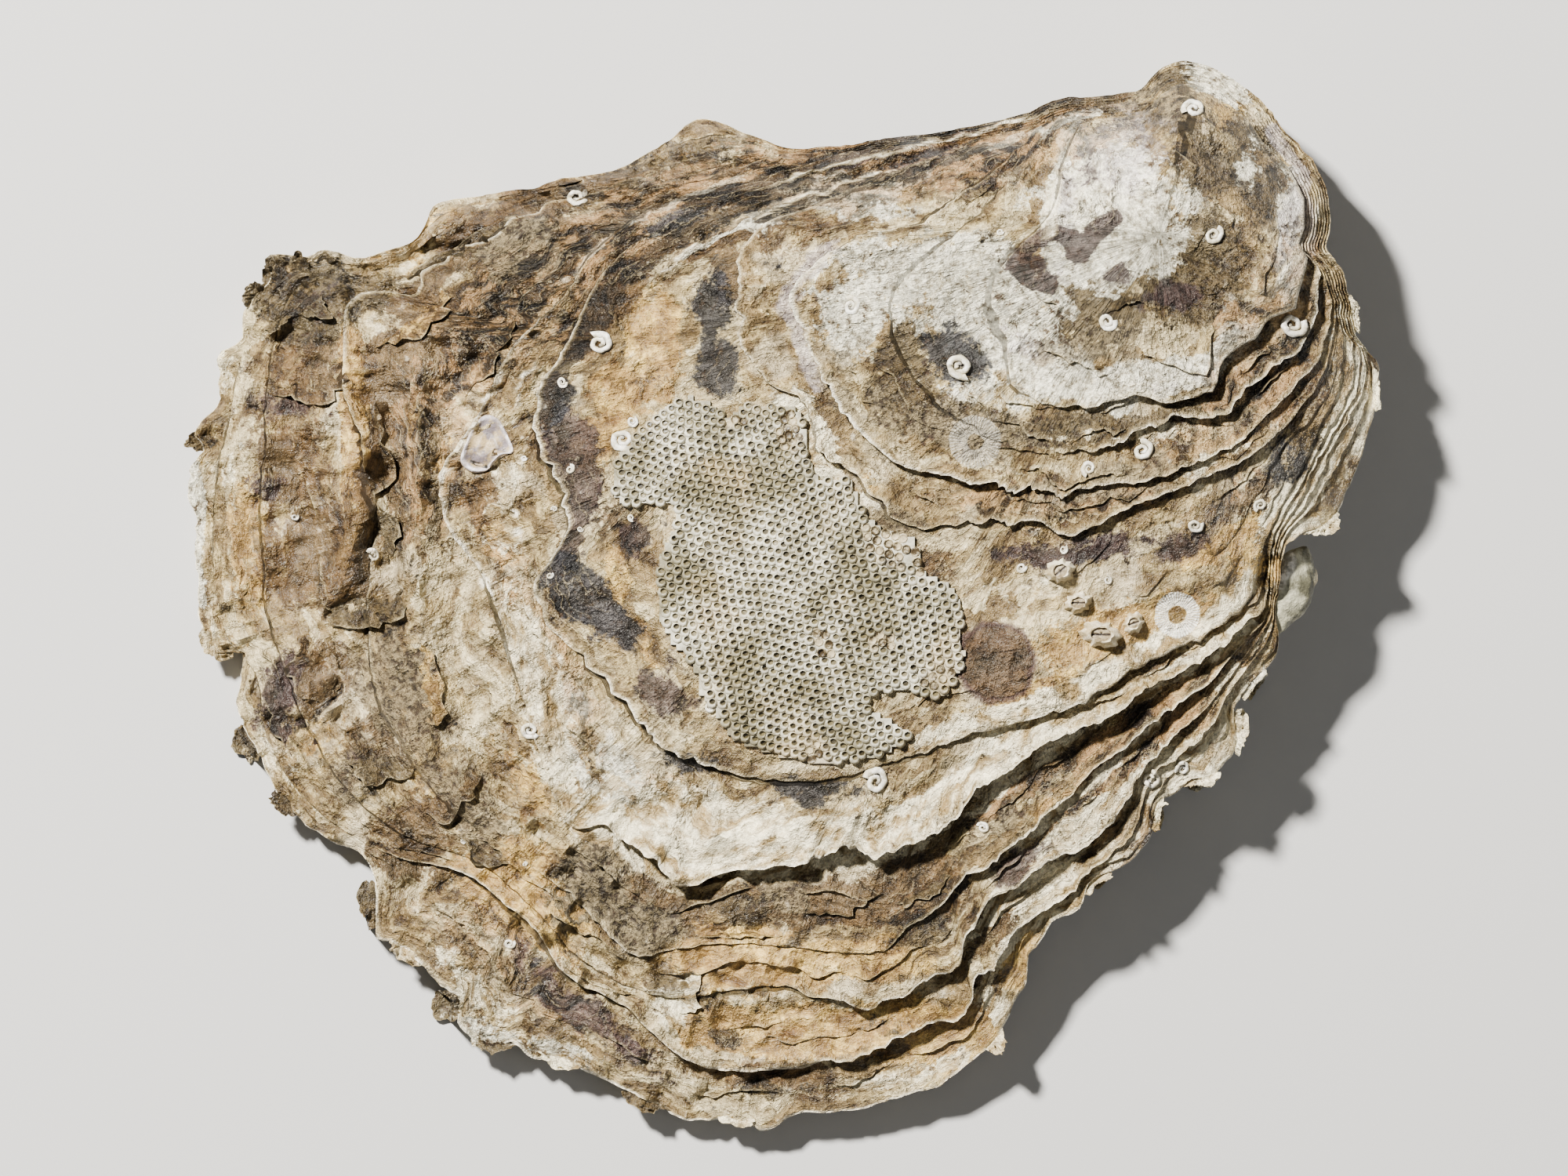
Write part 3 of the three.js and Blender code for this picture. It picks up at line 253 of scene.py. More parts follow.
def closed_curve(points, steps):
    """A smooth closed line through plan points, with so many steps between each two."""
    p = np.array([q[:2] for q in points], float)
    before, after, later = np.roll(p, 1, 0), np.roll(p, -1, 0), np.roll(p, -2, 0)
    a, b, c = (np.sqrt(np.linalg.norm(q - r, axis=1))[:, None]
               for q, r in ((p, before), (after, p), (later, after)))
    leave = ((p - before) / a - (after - before) / (a + b) + (after - p) / b) * b
    arrive = ((after - p) / b - (later - p) / (b + c) + (later - after) / c) * b
    t = np.linspace(0, 1, steps, endpoint=False)[None, :, None]
    line = (p[:, None] * (2 * t**3 - 3 * t**2 + 1) + leave[:, None] * (t**3 - 2 * t**2 + t)
            + after[:, None] * (3 * t**2 - 2 * t**3) + arrive[:, None] * (t**3 - t**2))
    return line.reshape(-1, 2)


def spaced(line, count):
    """Points at equal distances round a closed line, and the way it runs there."""
    ring = np.vstack([line, line[:1]])
    run = np.concatenate([[0], np.cumsum(np.linalg.norm(np.diff(ring, axis=0), axis=1))])
    at = np.arange(count) * run[-1] / count
    points = np.stack([np.interp(at, run, ring[:, i]) for i in (0, 1)], 1)
    ways = np.roll(points, -1, 0) - np.roll(points, 1, 0)
    return points, ways / np.linalg.norm(ways, axis=1)[:, None]


def smooth(t):
    """From 0 to 1 with an even start and end."""
    return t * t * (3 - 2 * t)


def from_patch(dx, dy, half_long, half_wide, turn):
    """How far out something lies in a stretched patch turned by so many degrees: 1 is on its rim."""
    c, s = math.cos(math.radians(turn)), math.sin(math.radians(turn))
    return np.hypot((dx * c + dy * s) / half_long, (dy * c - dx * s) / half_wide)


def polar(p):
    """The direction of plan points from the focus, and how far out they are."""
    d = p - FOCUS
    return np.arctan2(d[..., 1], d[..., 0]), np.hypot(d[..., 0], d[..., 1])


stop_angles, stop_reach = polar(np.array([g[:2] for g in GUIDE], float))
stop_order = np.argsort(stop_angles)
stop_values = np.column_stack([stop_reach, np.array([g[2:] for g in GUIDE])])[stop_order]
stop_angles = stop_angles[stop_order]


def guide_at(angle):
    """Reach, outer height, under height and fall of the guide in a direction from the focus."""
    i = np.searchsorted(stop_angles, angle, side="right") % len(stop_angles)
    a, b = stop_angles[i - 1], stop_angles[i]
    turn = 2 * math.pi
    t = smooth(((angle - a) % turn) / ((b - a) % turn))[..., None]
    return np.moveaxis(stop_values[i - 1] * (1 - t) + stop_values[i] * t, -1, 0)


def body_height(p):
    """Height of the outer side without its ledges."""
    angle, distance = polar(p)
    reach, top, _, fall = guide_at(angle)
    z = top + (DOME_TOP - top) * (1 - np.minimum(distance / reach, 1) ** fall)
    for x, y, size, height in SWELLS:
        z = z + height * np.exp(-((p[..., 0] - x) ** 2 + (p[..., 1] - y) ** 2) / size**2)
    return z


def under_height(p):
    """Height of the inner side: thin at the margin, solid under the hinge."""
    angle, distance = polar(p)
    reach, _, under, _ = guide_at(angle)
    out = np.minimum(distance / reach, 1)
    wall = WALL_AT_MARGIN + (WALL_AT_DOME - WALL_AT_MARGIN) * (1 - out**4)
    rim = smooth(np.maximum(0, (out - 0.8) / 0.2))
    near = ((p[..., 0] - HINGE["at"][0]) ** 2 + (p[..., 1] - HINGE["at"][1]) ** 2) / HINGE["reach"] ** 2
    return np.maximum(0, (body_height(p) - wall) * (1 - rim) + under * rim - HINGE["thick"] * np.exp(-near))


def inside(polygon, p):
    """Which of the plan points lie inside a closed line."""
    a, b = polygon, np.roll(polygon, 1, 0)
    x, y = p[:, :1], p[:, 1:]
    spans = (a[:, 1] > y) != (b[:, 1] > y)
    rise = np.where(a[:, 1] == b[:, 1], 1, b[:, 1] - a[:, 1])
    left = x < (b[:, 0] - a[:, 0]) * (y - a[:, 1]) / rise + a[:, 0]
    return (spans & left).sum(1) % 2 == 1


# Growth rays fan out from the dome's top and bend to meet the margin squarely
ray_end, ray_way = spaced(closed_curve(GUIDE, 40), COLUMNS)
ray_length = np.linalg.norm(ray_end - FOCUS, axis=1)
ray_out = np.stack([-ray_way[:, 1], ray_way[:, 0]], 1)
ray_out *= np.sign((ray_out * (ray_end - FOCUS)).sum(1))[:, None]
ray_bend = ray_end - RAY_BEND * ray_length[:, None] * ray_out


def on_ray(t):
    """The plan points at these shares of the way along each growth ray."""
    t = t[..., None]
    return (1 - t) ** 2 * FOCUS + 2 * t * (1 - t) * ray_bend + t**2 * ray_end


def ripple(p, size, seed, octaves=2):
    """Soft noise from about -1 to 1 over plan points, with bumps of about that size in mm."""
    flat = p.reshape(-1, 2) / size
    values = [noise.fractal(Vector((x, y, seed)), 0.9, 2.1, octaves, noise_basis="PERLIN_ORIGINAL")
              for x, y in flat]
    return np.array(values).reshape(p.shape[:-1])


at = []
for ring in RINGS:
    polygon = closed_curve(ring["line"], 4)
    near, far = np.zeros(COLUMNS), np.ones(COLUMNS)
    for _ in range(20):
        middle = (near + far) / 2
        within = inside(polygon, on_ray(middle))
        near, far = np.where(within, middle, near), np.where(within, far, middle)
    at.append(near)

strengths = []
for k, ring in enumerate(RINGS):
    tip = on_ray(at[k])
    weak = np.ones(COLUMNS)
    for x, y, reach, strength in ring["spots"]:
        weak *= 1 - strength * np.exp(-((tip[:, 0] - x) ** 2 + (tip[:, 1] - y) ** 2) / reach**2)
    strengths.append(1 - weak)
    torn = 0.35 + 1.3 * np.clip(ripple(tip, 7, 2.3 * k + 70, 1) + 0.45, 0, 1)
    ragged = 0.5 * ripple(tip, 1.1, 3.1 * k + 0.5, 3) + 0.45 * ripple(tip, 3.1, 1.7 * k + 40, 1)
    if ring["name"] == "margin":
        ragged += np.where(tip[:, 0] < -25, 1, 0.4) * (0.8 * np.abs(ripple(tip, 1.3, 88, 3)) - 0.3)
    at[k] = at[k] + ragged * torn * (0.45 + 0.8 * strengths[k]) / ray_length
for k in range(len(at) - 2, -1, -1):
    at[k] = np.minimum(at[k], at[k + 1] - 0.3 / ray_length)

# Rows of the surface from the dome's top to the margin and back underneath. Each has its place along
# the rays, its height and what the finish reads there: growth in mm up to the band's own lip, nearness
# to a lip, which is painted pale and partly as a painted highlight, and painted shade for the gaps under the
# lips. Each band's growth starts at another hundred, so that no two look alike.
rows = []
BAND_GROWTH = 100


def add_row(t, z, growth, lip, painted_shade, under=0.0):
    rows.append([np.broadcast_to(np.asarray(v, float), (COLUMNS,)) for v in (t, z, growth, lip, painted_shade, under)])


add_row(0, DOME_TOP, 0, 0, 0)
root, root_drop, shade_from_lip_above = np.zeros(COLUMNS), np.zeros(COLUMNS), np.zeros(COLUMNS)
tip_above = np.zeros(COLUMNS)
zone_rows = []
mm = 1 / ray_length                             # one mm as a share of each ray
for k, ring in enumerate(RINGS):
    tip = on_ray(at[k])
    strength = strengths[k]
    wave = 1 + 0.35 * ripple(tip, 3.5, 7.3 * k + 9, 2) + 0.4 * ripple(tip, 1.5, 7.3 * k + 11, 2)
    lift = strength * ring["lift"] * wave
    band = at[k] - root
    far = BAND_GROWTH * (k + 1)
    steps = ring["steps"]
    bounds, rises = [np.zeros(COLUMNS)], []
    for j in range(steps):
        even = (j + 0.75) / (steps + 0.6)
        near_step = on_ray(root + band * even)
        seed = 17.1 * k + 5.3 * j
        shift = 0.26 * ripple(near_step, 1.2, seed, 3) + 1.5 * ripple(near_step, 5, seed + 2, 2)
        room = 0.44 / (steps + 0.6)
        bounds.append(even + np.clip(shift * mm / np.maximum(band, mm), -room, room))
        step_rise = 0.2 if ring["name"] == "inner plateau line" else 0.38
        rises.append(step_rise * np.clip(ripple(near_step, 6, seed + 4, 2) * 2.2 + 0.35, 0.03, 1)
                     * np.clip(band * ray_length / 3, 0.15, 1))
    bounds.append(np.ones(COLUMNS))

    def band_height(s):
        return body_height(on_ray(root + band * s)) - root_drop * (1 - s * s) + lift * s * s

    for j, (low, high) in enumerate(zip(bounds[:-1], bounds[1:])):
        count = max(2, round(ring["rows"] / (steps + 1)))
        rise = rises[j] if j < steps else 0
        for i in range(count):
            s = low + (high - low) * (i + 0.6) / (count + 0.2)
            t = root + band * s
            to_step = (high - s) * band * ray_length
            from_step = (s - low) * band * ray_length
            lip = (0.2 + 0.8 * strength**0.6) * np.exp(-(at[k] - t) * ray_length / 0.35)
            # Painted shade below the lip above, fading outwards, and at the foot of the step before
            shade_amount = 0.4 * shade_from_lip_above * np.exp(-np.maximum(0, t - tip_above) * ray_length / 0.6)
            if j:
                shade_amount = shade_amount + 0.3 * rises[j - 1] * np.exp(-from_step / 0.3)
            add_row(t, band_height(s) + rise * np.exp(-to_step / 1.1), far - (at[k] - t) * ray_length, lip,
                    shade_amount)
        if j < steps:
            t = root + band * high
            step_growth = far - (at[k] - t) * ray_length
            # The top of a step gets a pale rim that is a painted highlight, and its foot a little painted
            # shade
            add_row(t, band_height(high) + 0.96 * rise, step_growth, 1.2 * rise, 0)
            add_row(t + 0.05 * mm, band_height(high) - 0.05 * rise, step_growth, 0, 0.2 * rise)
    lip_top = body_height(tip) + lift
    if k == len(RINGS) - 1:
        break
    thick = 0.1 + 0.42 * strength
    back = np.minimum(strength * ring["tuck"] / ray_length, band * (1 - bounds[-2]) * 0.45)
    next_root = at[k] - back - 0.04 * mm
    drop = LEAST_STEP + 1.1 * strength * ring["drop"]
    over = band_height((next_root - root) / band)
    root_height = np.minimum(body_height(on_ray(next_root)) - drop,
                             np.minimum(over - thick - 0.12, lip_top - thick - 0.1))
    # The lip's tip carries its pale edge and painted highlight, and the rows tucked back under it carry
    # painted shade
    glow = 0.25 + 0.75 * strength**0.6
    add_row(at[k], lip_top - 0.2 * thick, far, glow, 0)
    add_row(at[k] + 0.02 * mm, lip_top - 0.7 * thick, far, glow, 0.15 * strength)
    add_row(at[k] - 0.03 * mm, lip_top - thick, far, 0.3 * glow, 0.5 * strength)
    add_row(at[k] - 0.5 * back - 0.03 * mm, (lip_top + over) / 2 - thick - 0.02, far, 0, strength)
    add_row(next_root, root_height, far, 0, strength)
    root = next_root
    root_drop = body_height(on_ray(root)) - root_height
    shade_from_lip_above = strength
    tip_above = at[k]
    if ring["name"] in ("dome lip", "inner plateau line"):
        zone_rows.append(len(rows) + 1)

# The margin is a stack of thin leaves, each a little further in than the one above it
margin = at[-1]
rim_top = body_height(on_ray(margin))
rim_under = np.minimum(under_height(on_ray(margin)), rim_top - 0.9)
rim_wall = rim_top - rim_under
# The margin's leaves carry a little painted shade as well
for inward, down, lip in ((0, 0.03, 1), (-0.03, 0.22, 0.8), (0.45, 0.34, 0.2), (0.12, 0.42, 0.6),
                          (0.16, 0.6, 0.5), (0.75, 0.72, 0.1), (0.4, 0.8, 0.5), (0.6, 1, 0.3)):
    add_row(margin - inward / ray_length, rim_top - down * rim_wall, far, lip, 0.3)
top_rows = len(rows)
UNDER_STEPS = (0.985, 0.965, 0.94, 0.91, 0.87, 0.82, 0.76, 0.69, 0.61, 0.52, 0.43, 0.34, 0.25, 0.16, 0.08)
for s in UNDER_STEPS:
    add_row(margin * s, under_height(on_ray(margin * s)), far - (1 - s) * margin * ray_length, 0, 0, 1)
add_row(0, under_height(FOCUS), far - margin * ray_length, 0, 0, 1)

stations = np.array(rows)                       # row, value, column
plan = on_ray(stations[:, 0])                   # row, column, x and y
heights = stations[:, 1].copy()
growth, lip, painted_shade, under = stations[:, 2], stations[:, 3].copy(), stations[:, 4].copy(), stations[:, 5]
outer = under < 0.5
# Painted shade is weaker on lips that face the key light at the upper left
away_from_key_light = 1 - 0.75 * np.clip(ray_out @ np.array([-0.66, 0.75]), 0, 1)
painted_shade *= away_from_key_light


def line_distance(p, points):
    """How far plan points are from a bent line, and how far along it the nearest place is, from 0 to 1."""
    nearest, along = np.full(p.shape[:-1], 1e9), np.zeros(p.shape[:-1])
    points = np.array(points, float)
    for i, (a, b) in enumerate(zip(points[:-1], points[1:])):
        t = np.clip(((p - a) @ (b - a)) / ((b - a) @ (b - a)), 0, 1)
        d = np.linalg.norm(p - a - t[..., None] * (b - a), axis=-1)
        along = np.where(d < nearest, (i + t) / (len(points) - 1), along)
        nearest = np.minimum(nearest, d)
    return nearest, along


# Low waves of the outer side, and crumpled leaves outside the plateau
out_mm = stations[:, 0] * ray_length
wave_room = np.clip(out_mm / 6, 0, 1) * np.where(outer, 1, 0)
heights += wave_room * (0.34 * ripple(plan, 8, 2.5, 2) + 0.2 * ripple(plan, 2.4, 5.5, 3))
leafy = np.clip((out_mm - (at[4] * ray_length)) / 5, 0, 1) * np.clip((14 - plan[..., 0]) / 20, 0, 1)
leafy = np.where(outer, leafy, 0)
crumple = 1 - 2 * np.abs(ripple(plan, 3.4, 11.5, 3))
heights += leafy * (0.8 * crumple - 0.38 + 0.22 * (1 - 2 * np.abs(ripple(plan, 1.7, 13.5, 2))))
# Painted shade in the valleys of the crumpled leaves
painted_shade += 0.5 * leafy * np.clip(-0.2 - crumple, 0, 1)

# Cracks and creases sink in, and ridges, with a depth below zero, stand up: points, half width, depth, and
# the painted shade laid in the crease
CREASES = [
    ([(-51.2, -1.6), (-48.1, -2.3)], 0.4, 0.7, 1),
    ([(-40.8, -3.3), (-39.6, -1.3), (-37.9, -0.8)], 0.5, 0.6, 0.5),
    ([(-44.4, -13.8), (-41.5, -11), (-39.9, -9.5), (-39.4, -7.8)], 0.5, 0.8, 1),
    ([(-38.2, -19.4), (-36.5, -17.7), (-34, -15.2)], 0.5, 0.7, 1),
    ([(-32.1, -27.2), (-30, -26.2), (-28.2, -25.2)], 0.45, 0.7, 1),
    ([(-39.5, 29), (-38.6, 26), (-37.7, 22.9)], 0.4, 0.6, 0.9),
    ([(-37.7, 3.5), (-35.5, 5), (-32.9, 6)], 0.5, 0.8, 0.5),
    ([(-36.7, 8.4), (-35.6, 9.4), (-34.1, 11.3)], 0.7, 0.9, 0.4),
    ([(-31.5, 15), (-31.7, 12.2)], 0.4, 0.8, 1),
    ([(-33.9, 4.6), (-33.3, 2), (-32.6, -0.6)], 0.4, 0.6, 0.8),
    ([(-36.2, -5.5), (-34.8, -3.4), (-32.6, -2.2)], 0.4, 0.6, 0.8),
    ([(-6.4, -36), (-7.1, -37.6), (-8, -39.1)], 0.35, 0.5, 1),
    ([(20.4, 2.8), (21.6, 0.6), (21.9, -1.4)], 0.3, 0.3, 0.6),
    ([(35, 46), (32, 44.5), (30.5, 43), (31.5, 41), (34, 39.7), (37.5, 38.6), (40, 39)], 0.9, 0.55, 0.5),
    ([(-50.6, 12.9), (-52.2, 13.4)], 0.9, 0.8, 1),
    ([(24.5, 38.8), (23.8, 35), (23.6, 31.5), (22.6, 29.4)], 0.9, -0.5, 0),
    ([(12, 26), (15.3, 24.3), (17, 22.8), (19.4, 21.2), (25, 20)], 1.3, -0.4, 0),
    ([(-37.9, 21), (-36.8, 17.5), (-36.4, 13.5), (-37, 10.5)], 0.8, -0.5, 0),
    ([(46.9, 37), (47, 33), (45.8, 29.6), (43, 26.6), (40.4, 24.8)], 0.6, -0.35, 0),
    ([(-9, 33.7), (-13, 31.6), (-17.6, 27.6), (-21.6, 20.8), (-23.4, 17.6), (-24.2, 9), (-23.4, 5),
      (-24.4, 1.3), (-21.8, -3.7), (-18.4, -8.1), (-15.2, -13.2), (-11, -16.8), (-3.6, -17.8), (2.4, -19.9),
      (6.5, -18.3), (14.7, -15.9), (25, -11.8)], 0.5, -0.4, 0),
    ([(-16.8, 29.6), (-23.5, 21.8), (-27.8, 14.2), (-30.6, 9.5), (-30, 5.7), (-26.8, 1.4), (-24.9, -3.5),
      (-23.2, -9)], 0.45, -0.5, 0),
    ([(28, 43.4), (17, 40.2), (5, 37.6), (-6, 34.4)], 0.4, -0.4, 0),
    ([(20, 40.2), (8, 37), (-4, 33), (-12, 28.6)], 0.4, 0.4, 0.9),
    ([(14, 38.4), (4, 35.4), (-8, 30.4), (-15, 24)], 0.35, -0.35, 0),
    ([(-12, 34.8), (-20, 30.6), (-27, 22), (-30.5, 16)], 0.45, 0.45, 0.9),
    ([(42.7, 3.2), (42.7, 1), (43, -1.6)], 0.8, 1.3, 0.8),
]
shaken = plan + 0.5 * np.stack([ripple(plan, 1.9, 61.5, 2), ripple(plan, 1.9, 63.5, 2)], -1)
wander, uneven = ripple(plan, 1.1, 21.5, 1), np.clip(0.9 + 0.9 * ripple(plan, 2.6, 23.5, 2), 0.15, 1.6)
for points, half, depth, shade_amount in CREASES:
    apart, along = line_distance(shaken, points)
    apart = np.maximum(apart + 0.35 * half * wander, 0)
    mark = np.exp(-(apart / half) ** 2) * np.clip(4 * along * (1 - along) + 0.35, 0, 1)
    heights -= np.where(outer, depth * mark * uneven, 0)
    painted_shade += np.where(outer, shade_amount * mark, 0)
    # Narrow ridges get a painted highlight along their crests
    if depth < 0 and half < 1:
        lip += np.where(outer, 0.85 * mark**5 * np.minimum(uneven, 1.1), 0)
# Long swells and troughs of the left wing and below the plateau: points, half width, height
LONG_FORMS = [
    ([(-39, 24), (-38.4, 15), (-38.6, 6), (-40.4, -2)], 2, 0.9),
    ([(-35.4, 20), (-35, 12), (-35.4, 4), (-36.4, -5)], 1.7, -1),
    ([(-32.6, 22), (-32.4, 12), (-33, 2), (-31.6, -6)], 1.3, 0.7),
    ([(-29.6, 0), (-29, -8), (-26.4, -15), (-22.6, -21)], 1.6, -0.7),
    ([(-45.5, 20), (-46.6, 8), (-45.6, -2)], 2.6, 0.4), ([(-34, -10), (-31, -16), (-27, -20.5)], 1.7, 0.7),
    ([(-38.6, -8), (-36, -14), (-32.6, -19)], 1.5, -0.6), ([(-29, -24), (-24, -28), (-19, -32)], 1.6, 0.5),
    ([(-21, -24), (-17.4, -27.6), (-13.6, -30.6)], 1.5, -0.5),
    ([(-36, 27.6), (-30, 29.4), (-24, 32)], 1.2, -0.6), ([(-26.4, 27), (-31, 22), (-33.6, 16)], 1.4, 0.5),
    ([(-27, 12), (-27.2, 7), (-25.4, 2), (-22.4, -6)], 1.6, -0.4),
    ([(-11, -22.6), (-4, -21.8), (4, -21), (11, -19.6)], 1.5, 0.5),
]
swelling = 1 + 0.5 * ripple(plan, 4, 25.5, 2)
for points, half, high in LONG_FORMS:
    apart, along = line_distance(plan, points)
    mark = np.exp(-(apart / half) ** 2) * np.clip(5 * along * (1 - along), 0, 1)
    heights += np.where(outer, 2.1 * high * mark * swelling, 0)
    # Painted shade in the troughs
    painted_shade += np.where(outer, 0.3 * mark * (high < 0), 0)
# Flutes run out to the edge at the upper left and the left
flute_round = np.broadcast_to(np.arange(COLUMNS) * MARGIN_ROUND / COLUMNS, growth.shape)
flute_place = np.stack([flute_round, 0.2 * growth], -1)
flutes = ripple(flute_place, 1.9, 27.5, 2)
for points, half, high in (([(-37, 29.6), (-28, 32.6), (-20, 35), (-11, 37.4)], 2.6, 0.9),
                           ([(-49, 22), (-51, 8), (-49, -6), (-44, -17)], 2.6, 0.5)):
    heights += np.where(outer, high * flutes * np.exp(-(line_distance(plan, points)[0] / half) ** 2), 0)
# A thick dark chip of older leaves stands at the upper left
chip, _ = line_distance(plan, [(-44.6, 27.6), (-41.5, 24.4), (-39.6, 26.5)])
chip = smooth(np.clip((3.6 + 0.9 * ripple(plan, 2.1, 31.5, 2) - chip) / 0.7, 0, 1)) * np.where(outer, 1, 0)
heights += chip * (0.35 + 0.5 * (1 - 2 * np.abs(ripple(plan, 1.5, 33.5, 3))))
heights = np.maximum(heights, 0)

